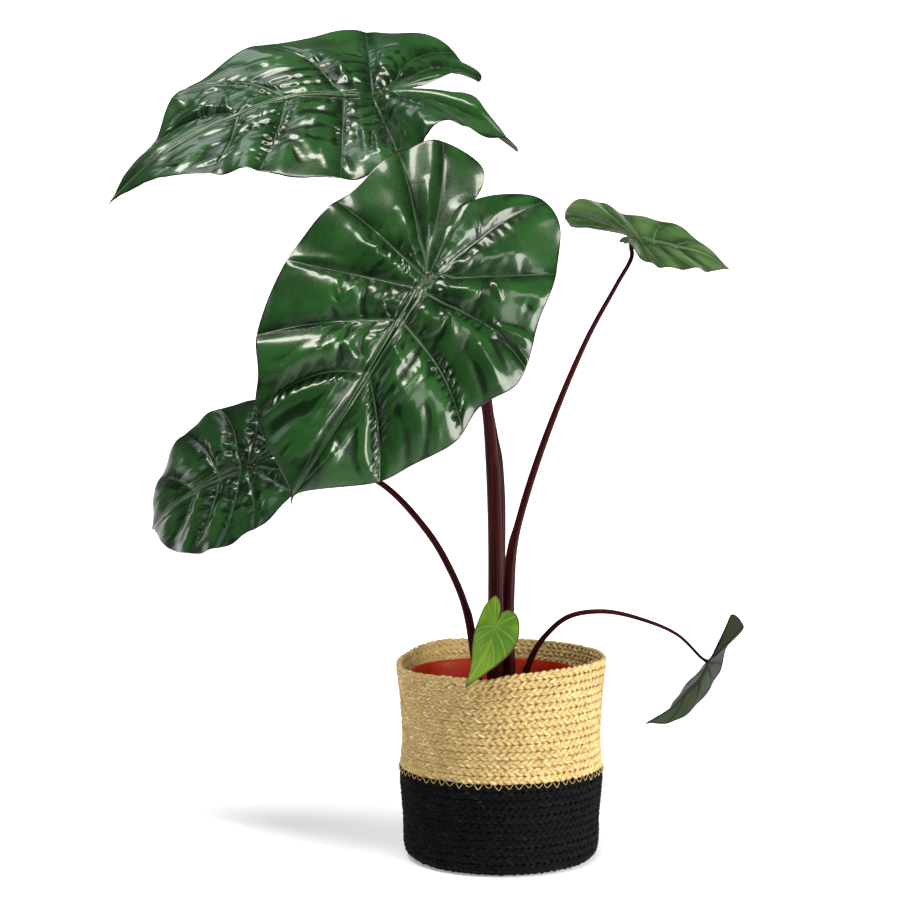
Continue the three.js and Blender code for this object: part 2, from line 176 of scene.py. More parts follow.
paper = Finish("studio_paper", {"Roughness": 0.9, "Emission Strength": 1.0})
spot = paper.place()
depth = paper.part(spot, 1)
sheet = paper.tint(paper.grain(spot, 0.7), (0.86, 0.87, 0.88), (0.9, 0.9, 0.9))
# Painted shade: the paper turns dark grey towards the camera, standing in for the dark room that
# the glossy leaves mirror.
paper.wear(paper.tint(paper.between(depth, -0.25, -0.8), sheet, (0.3, 0.3, 0.31)))
# Painted light: the paper glows, faintly on the floor in front and brightly behind the plant and
# up the rise, though it is no lamp.
painted_paper_glow = paper.tint(paper.between(depth, 0.1, 1.5), (0.26, 0.27, 0.28), (0.95, 0.96, 0.97))
paper.plug(paper.shader.inputs["Emission Color"], painted_paper_glow)
sheet_length = 7.5
floor_length = 5.4
front_edge = -3.6
half_width = 5.0
bend = 1.1
bm = bmesh.new()
bmesh.ops.create_grid(bm, x_segments=8, y_segments=60, size=1)
for vert in bm.verts:
    run = (vert.co.y + 1) * 0.5 * sheet_length
    turn = min(max((run - floor_length) / (bend * math.pi / 2), 0.0), 1.0) * math.pi / 2
    rise = max(run - floor_length - bend * math.pi / 2, 0.0)
    vert.co = (
        vert.co.x * half_width,
        front_edge + min(run, floor_length) + bend * math.sin(turn),
        bend * (1 - math.cos(turn)) + rise,
    )
sweep = finished("studio_sweep", bm, paper)

# Light: a long warm key high in front, a broad low box and a weak fill at the right, a
# cooler window at the left and a cool softbox high behind, which give the leaves their
# bands of light.


def softbox(name, place, aim, size, power, colour):
    light = bpy.data.lights.new(name, "AREA")
    light.shape = "RECTANGLE"
    light.size, light.size_y = size
    light.energy = power
    light.color = colour
    lamp = bpy.data.objects.new(name, light)
    lamp.location = place
    lamp.rotation_euler = (Vector(aim) - Vector(place)).to_track_quat("-Z", "Y").to_euler()
    bpy.context.scene.collection.objects.link(lamp)


softbox("key", (-0.4, -0.58, 2.4), (-0.05, -0.05, 0.4), (1.9, 0.45), 66, (1.0, 0.97, 0.88))
softbox("side", (2.1, -0.95, 0.6), (0.0, 0.0, 0.3), (1.1, 1.2), 72, (1.0, 0.97, 0.91))
softbox("fill", (1.1, -1.6, 1.5), (0.0, 0.0, 0.5), (1.0, 0.7), 12, (1.0, 0.98, 0.92))
softbox("window", (-1.9, -1.2, 1.3), (-0.1, 0.0, 0.5), (1.0, 1.4), 8, (0.84, 0.93, 1.0))
softbox("back", (-0.85, 0.7, 2.2), (-0.25, 0.05, 0.65), (0.8, 0.6), 4, (0.86, 0.95, 1.0))
world = bpy.data.worlds.new("room")
world.use_nodes = True
room = world.node_tree.nodes["Background"].inputs
room["Color"].default_value = (0.93, 0.96, 1.0, 1.0)
room["Strength"].default_value = 0.12
bpy.context.scene.world = world
bpy.context.scene.view_settings.view_transform = "Standard"

# Basket, natural part: fourteen rounds of a flat three-strand braid of jute, stitched edge
# to edge into a wall that narrows at the waist and flares to a soft, uneven rim.
TURN = 2 * math.pi
rim_height = 0.180
colour_change = 0.082
wall = 0.0065
braid_period = 0.0192
ply_period = 0.017
braid_depth = 0.0052
braid_stand = 0.0010
core_stand = 0.0006
overlap = 0.001
points_a_round = 230
outline = [
    (0.0835, 0.0), (0.0876, 0.012), (0.0886, 0.038), (0.0914, 0.076),
    (0.0894, 0.104), (0.091, 0.140), (0.0952, 0.180),
]


def unit(vectors):
    return vectors / np.maximum(np.linalg.norm(vectors, axis=-1), 1e-9)[..., None]


def run_along(line):
    """The length of a line up to each of its points."""
    return np.concatenate([[0], np.cumsum(np.linalg.norm(np.diff(line, axis=0), axis=1))])


def smooth_run(points, where):
    """Points on a smooth line through the given ones; where counts them from 0."""
    given = np.array(points, float)
    given = np.vstack([2 * given[0] - given[1], given, 2 * given[-1] - given[-2]])
    where = np.clip(np.asarray(where, float), 0, len(points) - 1 - 1e-9)
    first = np.floor(where).astype(int)
    t = (where - first)[:, None]
    a, b, c, d = (given[first + k] for k in range(4))
    chords = [np.linalg.norm(q - p, axis=1) for p, q in ((a, b), (b, c), (c, d))]
    ab, bc, cd = (np.sqrt(chord)[:, None] for chord in chords)
    leave = ((b - a) / ab - (c - a) / (ab + bc) + (c - b) / bc) * bc
    arrive = ((c - b) / bc - (d - b) / (bc + cd) + (d - c) / cd) * bc
    return (
        b + leave * t
        + (3 * (c - b) - 2 * leave - arrive) * t ** 2
        + (2 * (b - c) + leave + arrive) * t ** 3
    )


wall_line = smooth_run(outline, np.linspace(0, len(outline) - 1, 200))


def wall_radius(height):
    return np.interp(height, wall_line[:, 1], wall_line[:, 0])


def outwards(angle):
    """Level unit vectors at angles round the basket, counted from its front."""
    return np.stack([np.sin(angle), -np.cos(angle), np.zeros_like(angle)], 1)


def bell(value, middle, width):
    return np.exp(-(((value - middle) / width) ** 2))


def rim_rise(angle, height):
    """How far the soft rim stands above or below its mean height."""
    angle = np.where(angle > math.pi, angle - TURN, angle)
    share = np.maximum((height - colour_change) / (rim_height - colour_change), 0)
    sag = -0.004 * bell(angle, -0.2, 0.2)
    back = 0.0055 * np.maximum(0, -np.cos(angle)) ** 0.8
    corner = 0.0035 * bell(angle, -2.45, 0.35)
    wave = 0.0036 * np.sin(angle) + 0.0018 * np.sin(2 * angle + 0.2)
    return (wave + sag + back + corner) * share ** 2


def tube_grid(bm, places, marks=None):
    """Adds a grid of faces whose vertices take places[i][j]; marks go to named layers."""
    rows, columns = places.shape[:2]
    made = bmesh.ops.create_grid(bm, x_segments=rows - 1, y_segments=columns - 1, size=1)["verts"]
    for vert in made:
        i = round((vert.co.x + 1) * 0.5 * (rows - 1))
        j = round((vert.co.y + 1) * 0.5 * (columns - 1))
        vert.co = places[i, j]
        for layer, values in (marks or {}).items():
            vert[layer] = values[i, j]


def drift(run, size, seed):
    """A smooth random line between about -1 and 1 that closes on itself."""
    draw = random.Random(seed)
    total = run[-1]
    line = np.zeros_like(run)
    for _ in range(6):
        waves = max(1, round(total / size * draw.uniform(0.6, 1.6)))
        line += np.sin(TURN * waves * run / total + draw.uniform(0, TURN))
    return line / 3


def braid_round(bm, lay, centre, face, up, width, depth, sides, seed):
    """One round of flat three-strand braid round a closed line of points. Each strand
    is three plies twisted together."""
    weave_width, weave_depth = 0.29 * width, 0.19 * depth
    run = run_along(centre)
    share = run / run[-1]
    turns = max(1, round(run[-1] / braid_period))
    twists = round(run[-1] / ply_period)
    start = random.Random(seed).uniform(0, TURN)
    turn = np.linspace(0, TURN, sides + 1)[None, :]
    for strand in range(3):
        mark = seed * 3 + strand
        phase = TURN * (turns * run / run[-1] + strand / 3) + start
        phase += 0.16 * drift(run, 0.05, mark)
        across = weave_width * np.sin(phase) + 0.0004 * drift(run, 0.012, mark + 500)
        out = weave_depth * np.sin(2 * phase) + 0.00035 * drift(run, 0.017, mark + 900)
        line = centre + up * across[:, None] + face * out[:, None]
        ahead = np.roll(line[:-1], -1, 0) - np.roll(line[:-1], 1, 0)
        ahead = unit(np.vstack([ahead, ahead[:1]]))
        side = unit(np.cross(face, ahead))
        plies = 1 + 0.09 * np.cos(3 * turn - TURN * twists * share[:, None])
        plies = (plies * (1 + 0.12 * drift(run, 0.011, mark + 300))[:, None])[:, :, None]
        places = (
            line[:, None, :]
            + side[:, None, :] * np.cos(turn)[..., None] * plies * width * 0.225
            + face[:, None, :] * np.sin(turn)[..., None] * plies * depth * 0.29
        )
        marks = np.zeros((len(centre), sides + 1, 3))
        marks[..., 0] = run[:, None]
        marks[..., 1] = np.linspace(0, 0.012, sides + 1)[None, :]
        marks[..., 2] = mark * 0.37
        tube_grid(bm, places, {lay: marks})


def wall_round(height):
    """A closed line round the basket at a height, with its outward and upward sides."""
    angle = np.linspace(0, TURN, points_a_round + 1)
    outward = outwards(angle)
    line = outward * (wall_radius(height) - 0.5 * wall + braid_stand)
    line[:, 2] = height + rim_rise(angle, height)
    step = 0.004
    lean = (wall_radius(height + step) - wall_radius(height - step)) / (2 * step)
    up = unit(outward * lean + np.array([0, 0, 1.0]))
    face = unit(outward - up * np.sum(outward * up, axis=1)[:, None])
    return line, face, up


def braided_wall(bm, lay, low, high, rows, seed):
    """Rounds of braid from low to high up the wall, each lapping the one below."""
    pitch = (high - low) / rows
    for row in range(rows):
        line, face, up = wall_round(low + pitch * (row + 0.5))
        braid_round(bm, lay, line, face, up, pitch + overlap, braid_depth, 8, seed + row)


def jute(name, pale, tan, brown, dust, shine):
    """Twisted jute: long fibres along each strand, paler and browner ones mixed."""
    made = Finish(name, {"Roughness": 0.8, "Specular IOR Level": shine})
    lay = made.mark("lay")
    strands = made.grain(made.stretched(lay, (1.0, 9.0, 1.0)), 230, 4.0, 0.65)
    patches = made.grain(made.place(), 26, 3.0)
    broad = made.grain(made.place(), 7, 2.0)
    straw = made.grain(made.stretched(lay, (1.0, 5.0, 1.0)), 90, 2.0)
    colour = made.tint(made.between(strands, 0.3, 0.7), brown, tan)
    colour = made.tint(made.between(straw, 0.5, 0.75), colour, pale)
    colour = made.tint(made.between(patches, 0.45, 0.8) * 0.5, colour, brown)
    made.wear(made.tint(made.between(broad, 0.4, 0.7) * 0.4, colour, dust))
    made.relief((strands, 0.9, 0.0007), (straw, 0.5, 0.0006))
    return made


natural_jute = jute(
    "jute_natural", pale=(0.9, 0.76, 0.42), tan=(0.70, 0.53, 0.235),
    brown=(0.37, 0.225, 0.075), dust=(0.76, 0.6, 0.31), shine=0.2,
)


def core(bm, low, high):
    """The thin closed wall behind the braids, which shows only in the gaps between them."""
    steps, outer, mottle_and_crease_shade = 12, 0.0002, 0.0009
    climb = np.linspace(low, high, steps)
    heights = np.concatenate([climb, climb[::-1], climb[:1]])
    depths = np.concatenate([np.full(steps, outer), np.full(steps, mottle_and_crease_shade), [outer]])
    angle = np.linspace(0, TURN, 121)[:, None]
    radius = wall_radius(heights) - 0.5 * wall + core_stand - depths
    lift = heights + rim_rise(angle, heights)
    tube_grid(bm, np.stack([np.sin(angle) * radius, -np.cos(angle) * radius, lift], 2))


def stray_fibres(bm, lay, count, low, high, seed):
    """Loose bundles of fibre that lie over the wall, some with an end standing off it."""
    draw = random.Random(seed)
    for _ in range(count):
        angle, height = draw.uniform(0, TURN), draw.uniform(low, high)
        length, slope = draw.uniform(0.004, 0.013), draw.gauss(0, 0.3)
        thick, lift = draw.uniform(0.00009, 0.0003), draw.uniform(0, 0.0004)
        loose = draw.uniform(0.0005, 0.0022) if draw.random() < 0.3 else 0
        places = np.zeros((5, 4, 3))
        for i, share in enumerate((0, 0.25, 0.5, 0.75, 1)):
            turn = angle + length * share / 0.09
            rise = height + slope * length * share + 0.0008 * math.sin(3 * share + angle * 9)
            outward = np.array([math.sin(turn), -math.cos(turn), 0])
            stand = wall_radius(rise) - 0.0002 + lift
            stand += loose * share ** 2 - 0.0009 * (1 - share) ** 4
            centre = outward * stand + np.array([0, 0, rise + rim_rise(turn, rise)])
            for j in range(4):
                around = TURN * j / 3
                ring = outward * math.cos(around) + np.array([0, 0, math.sin(around)])
                places[i, j] = centre + ring * thick * (1 - 0.6 * share)
        marks = np.zeros((5, 4, 3))
        marks[..., 2] = draw.uniform(0, 40)
        tube_grid(bm, places, {lay: marks})


bm = bmesh.new()
lay = bm.verts.layers.float_vector.new("lay")
stray_fibres(bm, lay, 1000, 0.086, 0.178, 5)
braided_wall(bm, lay, colour_change, rim_height - 0.003, rows=14, seed=1)
core(bm, colour_change + 0.002, rim_height - 0.005)
natural = finished("basket_natural_braid", bm, natural_jute, weld=0.00003)
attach(natural, "root")
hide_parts("basket_natural")

# Basket, black part: eleven rounds of the same braid dyed black, turned in at the foot
# to a base of flat rounds that the basket stands on.
black_jute = jute(
    "jute_black", pale=(0.017, 0.019, 0.019), tan=(0.003, 0.004, 0.004),
    brown=(0.001, 0.0015, 0.0015), dust=(0.005, 0.006, 0.006), shine=0.08,
)
down = np.array([0, 0, -1.0])
bm = bmesh.new()
lay = bm.verts.layers.float_vector.new("lay")
stray_fibres(bm, lay, 500, 0.008, 0.077, 6)
braided_wall(bm, lay, 0.0045, colour_change, rows=11, seed=21)
core(bm, 0.006, colour_change - 0.002)
foot_radius, foot_height = 0.0822, 0.0049
base_radius, base_pitch, base_height = 0.0755, 0.0098, 0.0031
outward = outwards(np.linspace(0, TURN, 201))
foot = outward * foot_radius + np.array([0, 0, foot_height])
lean_out, lean_in = (outward + down) / math.sqrt(2), (outward - down) / math.sqrt(2)
braid_round(bm, lay, foot, lean_out, lean_in, 0.0104, 0.005, 9, 40)
for ring in range(8):
    radius = base_radius - ring * base_pitch
    rings = max(24, 8 * round(TURN * radius / braid_period))
    outward = outwards(np.linspace(0, TURN, rings + 1))
    line = outward * radius + np.array([0, 0, base_height])
    face = np.zeros_like(outward) + down
    braid_round(bm, lay, line, face, outward, 0.0108, braid_depth, 6, 41 + ring)
floor_disc = bmesh.ops.create_cone(
    bm, cap_ends=True, segments=64, radius1=0.081, radius2=0.081, depth=0.0016
)["verts"]
bmesh.ops.translate(bm, verts=floor_disc, vec=(0, 0, 0.0036))
black = finished("basket_black_braid", bm, black_jute, weld=0.00003)
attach(black, "root")
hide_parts("basket_black")

# Seam: the two parts are joined by a zigzag of natural jute thread, which shows as a
# row of open Vs on the black braid just below the change of colour.
stitches = 66
points_a_stitch = 12
thread_radius = 0.00026
steps = stitches * points_a_stitch
where = np.arange(steps + 1) / points_a_stitch
share = np.sqrt((np.abs((where % 1) - 0.5) * 2) ** 2 + 0.01)
slack = 0.8 + 0.2 * drift(where, 1.4, 77)
height = colour_change - 0.0056 * slack + share * (0.0016 + 0.0056 * slack)
outward = outwards(where / stitches * TURN + 0.006 * drift(where, 1.1, 78))
tucked = 0.0012 * np.clip(1.2 - share * 6, 0, 1)
stand = 0.0009 - tucked - 0.003 * np.clip(share * 3 - 2.1, 0, 1)
line = outward * (wall_radius(height) + stand)[:, None]
line[:, 2] = height
side = np.cross(outward, unit(np.gradient(line, axis=0)))
turn = np.linspace(0, TURN, 6)[None, :, None]
around = side[:, None, :] * np.cos(turn) + outward[:, None, :] * np.sin(turn)
marks = np.zeros((steps + 1, 6, 3))
marks[..., 0] = np.arange(steps + 1)[:, None] * 0.0009
marks[..., 1] = np.linspace(0, 0.003, 6)[None, :]
bm = bmesh.new()
lay = bm.verts.layers.float_vector.new("lay")
tube_grid(bm, line[:, None, :] + around * thread_radius, {lay: marks})
seam = finished("basket_seam_stitch", bm, natural_jute, weld=0.00003)
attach(seam, "root")

# Nursery pot: a thin moulded plastic pot with a rolled lip, orange-red, a little
# scuffed and dusted with soil inside. It stands loose in the basket.
MM = 0.001
pot_x = -0.005
pot_plastic = Finish("pot_plastic", {"Specular IOR Level": 0.1})
spot = pot_plastic.place()
scuffs = pot_plastic.grain(pot_plastic.stretched(spot, (1.0, 1.0, 3.0)), 60, 5.0, 0.7)
dust = pot_plastic.between(pot_plastic.grain(spot, 34, 3.0), 0.58, 0.8) * 0.35
worn = pot_plastic.between(scuffs, 0.4, 0.8)
red = pot_plastic.tint(worn, (0.38, 0.018, 0.003), (0.46, 0.03, 0.006))
red = pot_plastic.tint(dust, red, (0.2, 0.04, 0.015))
pot_plastic.wear(red, pot_plastic.between(scuffs, 0.3, 0.75, 0.36, 0.55))
pot_plastic.relief((scuffs, 0.15, 0.0003))
profile_mm = [
    (0.0, 6.3), (56.0, 6.3), (59.4, 6.9), (60.6, 8.2), (72.2, 120.0), (76.0, 155.6),
    (76.6, 157.2), (78.4, 157.8), (79.0, 158.6), (79.0, 164.4), (78.6, 165.5), (77.9, 166.0),
    (77.0, 166.0), (76.3, 165.6), (75.8, 164.6), (74.8, 158.0), (70.6, 120.0), (58.8, 9.6),
    (57.0, 8.3), (0.0, 8.3),
]
bm = bmesh.new()
ring = [bm.verts.new((radius * MM, 0, height * MM)) for radius, height in profile_mm]
edges = [bm.edges.new(pair) for pair in zip(ring, ring[1:])]
bmesh.ops.spin(
    bm, geom=ring + edges, axis=(0, 0, 1), cent=(0, 0, 0), angle=TURN, steps=120, use_merge=True
)
bmesh.ops.translate(bm, verts=bm.verts[:], vec=(pot_x, 0, 0))
nursery = finished("nursery_pot_shell", bm, pot_plastic, weld=0.00002)
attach(nursery, "root")
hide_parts("nursery_pot")

# Soil: moist dark potting mix, crumbly and a little mounded, with bark chips and white
# perlite on its surface.
mix = Finish("potting_mix", {"Specular IOR Level": 0.3})
crumbs = mix.grain(mix.place(), 420, 6.0, 0.75)
lumps = mix.grain(mix.place(), 90, 4.0, 0.6)
earth = mix.tint(mix.between(crumbs, 0.35, 0.7), (0.012, 0.007, 0.004), (0.06, 0.035, 0.02))
earth = mix.tint(mix.between(lumps, 0.5, 0.75) * 0.6, earth, (0.095, 0.055, 0.03))
mix.wear(earth, mix.between(crumbs, 0.3, 0.7, 0.75, 1.0))
mix.relief((lumps, 0.8, 0.002), (crumbs, 0.9, 0.0012))
soil_top = 0.1435
soil_radius = 0.0719


def soil_height(x, y):
    mound = soil_top - 0.0005 * (math.hypot(x, y) / 0.016) ** 1.55
    place = Vector((x, y, 0))
    return mound + 0.0011 * noise.noise(place * 55) + 0.0008 * noise.noise(place * 160)


sectors = 160
circles = 44
skirt = [(0.0, 0.0086), (0.0577, 0.0086), (0.066, 0.08), (0.0714, 0.134)]
places = np.zeros((len(skirt) + circles, sectors + 1, 3))
for j in range(sectors + 1):
    angle = TURN * (j % sectors) / sectors
    for i, (radius, height) in enumerate(skirt):
        places[i, j] = (pot_x + radius * math.sin(angle), -radius * math.cos(angle), height)
    for i, share in enumerate(np.linspace(1, 0, circles)):
        x, y = soil_radius * share * math.sin(angle), -soil_radius * share * math.cos(angle)
        places[len(skirt) + i, j] = (pot_x + x, y, soil_height(x, y))
bm = bmesh.new()
tube_grid(bm, places)
ground = finished("soil_mound", bm, mix, weld=0.00002)
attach(ground, "root")
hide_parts("soil")

bark = Finish("bark_chips", {"Roughness": 0.85})
bark_rings = bark.grain(bark.stretched(bark.place(), (1.0, 4.0, 6.0)), 160, 4.0, 0.6)
bark.wear(bark.tint(bark_rings, (0.05, 0.024, 0.012), (0.17, 0.09, 0.045)))
bark.relief((bark_rings, 0.8, 0.0008))
perlite = Finish("perlite", {"Roughness": 0.8})
pores = perlite.grain(perlite.place(), 900, 3.0)
perlite.wear(perlite.tint(pores, (0.45, 0.43, 0.4), (0.75, 0.74, 0.71)))
perlite.relief((pores, 0.6, 0.0004))


def scatter(name, material, count, sizes, flatness, seed):
    """Crumbs of random size and tilt, bedded in the soil's surface."""
    draw = random.Random(seed)
    bm = bmesh.new()
    for _ in range(count):
        angle = draw.uniform(0, TURN)
        reach = (soil_radius - 0.0039) * math.sqrt(draw.random())
        x, y = reach * math.sin(angle), reach * math.cos(angle)
        size = draw.uniform(*sizes)
        crumb = bmesh.ops.create_icosphere(bm, subdivisions=2, radius=size)["verts"]
        shift = Vector((draw.uniform(0, 50), draw.uniform(0, 50), 0))
        for vert in crumb:
            vert.co *= 1 + 0.45 * noise.noise(vert.co / size + shift)
            vert.co.x *= 1.5
            vert.co.z *= flatness
        tilt = Vector((draw.uniform(-0.5, 0.5), draw.uniform(-0.5, 0.5), 1))
        tilt = tilt.to_track_quat("Z", "Y")
        bmesh.ops.rotate(bm, verts=crumb, matrix=tilt.to_matrix())
        spin = Vector((math.sin(angle * 7), math.cos(angle * 7), 0)).to_track_quat("X", "Z")
        bmesh.ops.rotate(bm, verts=crumb, matrix=spin.to_matrix())
        lift = soil_height(x, y) + size * flatness * 0.3
        bmesh.ops.translate(bm, verts=crumb, vec=(pot_x + x, y, lift))
    piece = finished(name, bm, material, smooth=False)
    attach(piece, "root")


scatter("soil_bark", bark, 210, (0.0014, 0.0038), 0.45, 11)
scatter("soil_perlite", perlite, 120, (0.0007, 0.0017), 0.85, 12)

# Top-left leaf: the largest and highest blade, deep green and glossy, hung by its back
# on a thick maroon stem. Its panels are quilted between sunk veins, and rows of small
# pleats run beside some of the veins.
# All lengths in the leaf sections are millimetres until MM scales them.
VEIN_KNOTS = [0, 0.25, 0.6, 1, 2, 3, 4, 5, 6, 7, 8]
ARCH_SHARES = [0, 0.1, 0.65, 1, 0.5, 0, 0, 0, 0, 0, 0]
VEIN_FEET = [0, 0, 0, 0.05, 0.22, 0.45]
VEIN_ENDS = [3, 4, 6, 7, 8, 9]
LAST_VEIN = 6
TIP_STEPS = 7
FAR = 99.0
HALF_THICK, EDGE_LOSS, LIP = 0.45, 0.2, 0.25


def even_run(points, shares):
    """Points at shares of the length of the smooth line through the given ones."""
    fine = smooth_run(points, np.linspace(0, len(points) - 1, 500))
    run = run_along(fine)
    places = np.asarray(shares, float) * run[-1]
    return np.stack([np.interp(places, run, fine[:, k]) for k in range(3)], -1)


def eased(value, low, high):
    share = np.clip((np.asarray(value, float) - low) / (high - low), 0, 1)
    return share * share * (3 - 2 * share)


def puckers(points, size, seed):
    """Smooth random swelling between about -1 and 1, with lumps of the given size."""
    draw = random.Random(seed)
    total = np.zeros(points.shape[:-1])
    for _ in range(9):
        way = Vector((draw.gauss(0, 1), draw.gauss(0, 1), draw.gauss(0, 1))).normalized()
        scale = TURN / size * draw.uniform(0.35, 0.9)
        total += np.sin(points @ np.array(way) * scale + draw.uniform(0, TURN))
    return total / 4


def evened(grid, reach):
    """A grid's values, each averaged over its neighbours along both directions."""
    for axis, steps in enumerate(reach):
        picks = np.arange(grid.shape[axis])[:, None] + np.arange(-steps, steps + 1)
        picks = np.clip(picks, 0, grid.shape[axis] - 1)
        grid = np.take(grid, picks, axis=axis).mean(axis=axis + 1)
    return grid


def knee_normal(leaf):
    """The direction out of the upper face where the stem meets the blade."""
    along = unit(np.subtract(leaf["midrib"][0], leaf["knee"]).astype(float))
    across = unit(np.subtract(leaf["left"][-4], leaf["right"][-4]).astype(float))
    return unit(np.cross(along, across))


def petiole(name, leaf, stalk, finish):
    """A stem from the soil to the back of its blade, clasped by a sheath low down."""
    knee, normal = np.array(leaf["knee"], float), knee_normal(leaf)
    route = [*stalk["path"], *(knee - normal * below for below in (7.8, 0.9, 0.1))]
    rings, sides = 130, 24
    share = np.linspace(0, 1, rings + 1)
    line = even_run(route, share)
    ahead = unit(np.gradient(line, axis=0))
    side = np.zeros_like(line)
    side[0] = unit(np.cross(ahead[0], [0.0, 1.0, 0.0]))
    for i in range(1, rings + 1):
        side[i] = unit(side[i - 1] - ahead[i] * np.dot(side[i - 1], ahead[i]))
    other = np.cross(ahead, side)
    turn = np.linspace(0, TURN, sides + 1)[None, :, None]
    outward = side[:, None, :] * np.cos(turn) + other[:, None, :] * np.sin(turn)
    radius = np.zeros(rings + 1)
    for (low, first), (high, last) in zip(stalk["radii"], stalk["radii"][1:]):
        inside = (share >= low) & (share <= high)
        radius[inside] = first + (last - first) * eased(share[inside], low, high)
    end, out, facing = stalk["sheath"]
    toward = outward[..., 0] * math.cos(facing) + outward[..., 1] * math.sin(facing)
    grown = (share / end * (1 - eased(share, end - 0.025, end + 0.012)))[:, None]
    clasp = out * np.maximum(toward, 0) * grown
    lips = 0.55 * bell(toward, 0.72, 0.13) - 0.5 * bell(toward, 1, 0.05)
    collar = 0.35 * radius * eased(share, 0.972, 0.992)
    furrows = 0.05 * np.cos(9 * turn[..., 0]) * radius[:, None] * (1 - grown * 0.5) * 0.35
    reach = radius[:, None] + clasp + lips * grown * out * 0.6 + collar[:, None] + furrows
    places = line[:, None, :] + outward * reach[..., None]
    caps = np.repeat(line[[0, -1], None], sides + 1, 1)
    places = np.concatenate([caps[:1], places, caps[1:]], 0)
    length = np.linalg.norm(np.diff(line, axis=0), axis=1).sum()
    climb = np.concatenate([[0], share, [1]])[:, None]
    marks = np.zeros((*places.shape[:2], 3))
    marks[..., 0] = climb * length
    marks[..., 1] = turn[..., 0] * 4
    marks[..., 2] = climb
    bm = bmesh.new()
    lay = bm.verts.layers.float_vector.new("lay")
    tube_grid(bm, places * MM, {lay: marks})
    piece = finished("stalk_" + name, bm, finish, weld=0.00001)
    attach(piece, "root")
    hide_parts("stem_" + name)


def half_sheet(leaf, side, spine, lines, out):
    """Points of one half of a blade's plain sheet. Each line runs from the midrib out to
    the margin, bowed as the veins are, and the two veins of a fork start as one."""
    given = leaf["left" if side > 0 else "right"]
    ends = leaf.get("left_ends" if side > 0 else "right_ends", VEIN_ENDS)
    tip = spine(np.array([1.0]))[0]
    run = unit(tip - spine(np.array([0.97]))[0])
    away = np.array(given[-1], float) - tip
    shoulder = tip + unit(away - run * np.dot(away, run)) * 1.8
    margin = [leaf["knee"], *given, shoulder, spine(np.array([2.0]))[0]]
    mottle_and_crease_shade = min(2, 1 + 0.33 * (ends[0] - 1))
    marks = [1, mottle_and_crease_shade, (mottle_and_crease_shade + ends[0]) / 2, *ends, len(given) + 1, len(given) + 2]
    feet = [0, 0, 0, *leaf.get("feet", VEIN_FEET), 1, 2]
    bends = [0, *leaf["left_bends" if side > 0 else "right_bends"], 0, 0]
    veins = np.arange(9)[:, None] - np.array(bends)[:, None] * np.sin(math.pi * out)[None, :]
    first, reach = leaf["forks"][0 if side > 0 else 1]
    merge = 0.46 * (1 - eased(out, 0.3 * reach, 1.4 * reach))
    veins[first] += merge
    veins[first + 1] -= merge
    where = np.stack([np.interp(lines, np.arange(9), veins[:, r]) for r in range(len(out))], 1)
    at = np.interp(where, VEIN_KNOTS, marks)
    foot = np.interp(where, VEIN_KNOTS, feet)
    arch = np.interp(where, VEIN_KNOTS, ARCH_SHARES)
    start = spine(foot)
    end = smooth_run(margin, at.ravel()).reshape(*at.shape, 3)
    points = start + (end - start) * out[None, :, None]
    rise = leaf["arch"][0 if side > 0 else 1] * arch * np.sin(math.pi * out)[None, :] ** 0.8
    return points + knee_normal(leaf) * rise[..., None]


def sheet_normals(left, right, up):
    """Normals of the two halves, shared along the midrib and at the knee and tip."""
    both = []
    for half in (left, right):
        corner = np.cross(half[1:, 1:] - half[:-1, :-1], half[1:, :-1] - half[:-1, 1:])
        total = np.zeros_like(half)
        for c in (slice(None, -1), slice(1, None)):
            for r in (slice(None, -1), slice(1, None)):
                total[c, r] += corner
        both.append(total)
    for total in both:
        if np.sum(total.sum((0, 1)) * up) < 0:
            total *= -1
    shared = both[0][:, 0] + both[1][:, 0]
    at_knee = np.linalg.norm(left[:, 0] - left[0, 0], axis=1) < 1e-6
    shared[at_knee] = shared[at_knee].sum(0)
    both[0][:, 0] = both[1][:, 0] = shared
    for half in both:
        half[-1] = half[-2].sum(0)
    return unit(both[0]), unit(both[1])


class Half:
    """One half of a blade, as a grid of points in mm on its plain sheet. The grid's
    lines cross the panels from the lobe to the tip, and each runs out to the margin."""

    def __init__(self, side, points, lines, out, middle):
        self.side, self.points, self.lines, self.out = side, points, lines, out
        self.number = 0 if side > 0 else 1
        self.over = out[None, :]
        phase = np.where(lines > LAST_VEIN, (lines - LAST_VEIN) / 2, lines % 1)
        self.phase = phase[:, None]
        self.crown = np.sin(math.pi * self.phase)
        width = np.linalg.norm(points[:, -1] - points[:, 0], axis=1)[:, None]
        self.narrow = np.minimum(1, width / 40)
        self.length = width * self.over
        self.rim = width * (1 - self.over)
        stretch = np.linalg.norm(np.diff(points, axis=0), axis=2)
        self.climb = np.vstack([np.zeros(len(out)), np.cumsum(stretch, 0)])
        self.measure_veins()
        self.measure_midrib(middle)

    def measure_veins(self):
        """How far past the last vein and short of the next one each point lies."""
        self.past = np.full(self.points.shape[:2], FAR)
        self.short = np.full(self.points.shape[:2], FAR)
        last = 0
        for vein in range(1, LAST_VEIN + 1):
            column = self.nearest(vein, 0)[0]
            gap = self.climb - self.climb[column][None, :]
            self.past[column:] = gap[column:]
            self.short[last:column + 1] = -gap[last:column + 1]
            last = column
        self.near = np.minimum(self.past, self.short)

    def measure_midrib(self, middle):
        """How far from the midrib each point lies."""
        heading = unit(np.gradient(middle, axis=0))
        apart = np.sum((self.points[:, :, None, :] - middle) ** 2, axis=3)
        closest = np.argmin(apart, axis=2)
        reach = self.points - middle[closest]
        slide = np.clip(np.sum(reach * heading[closest], axis=2), -1.5, 1.5)
        self.rib = np.linalg.norm(reach - heading[closest] * slide[..., None], axis=2)

    def nearest(self, line, out):
        """The grid position closest to a place counted in panels and shares of the width."""
        return np.argmin(np.abs(self.lines - line)), np.argmin(np.abs(self.out - out))

    def within(self, low, high):
        return ((self.lines >= low) & (self.lines <= high))[:, None]


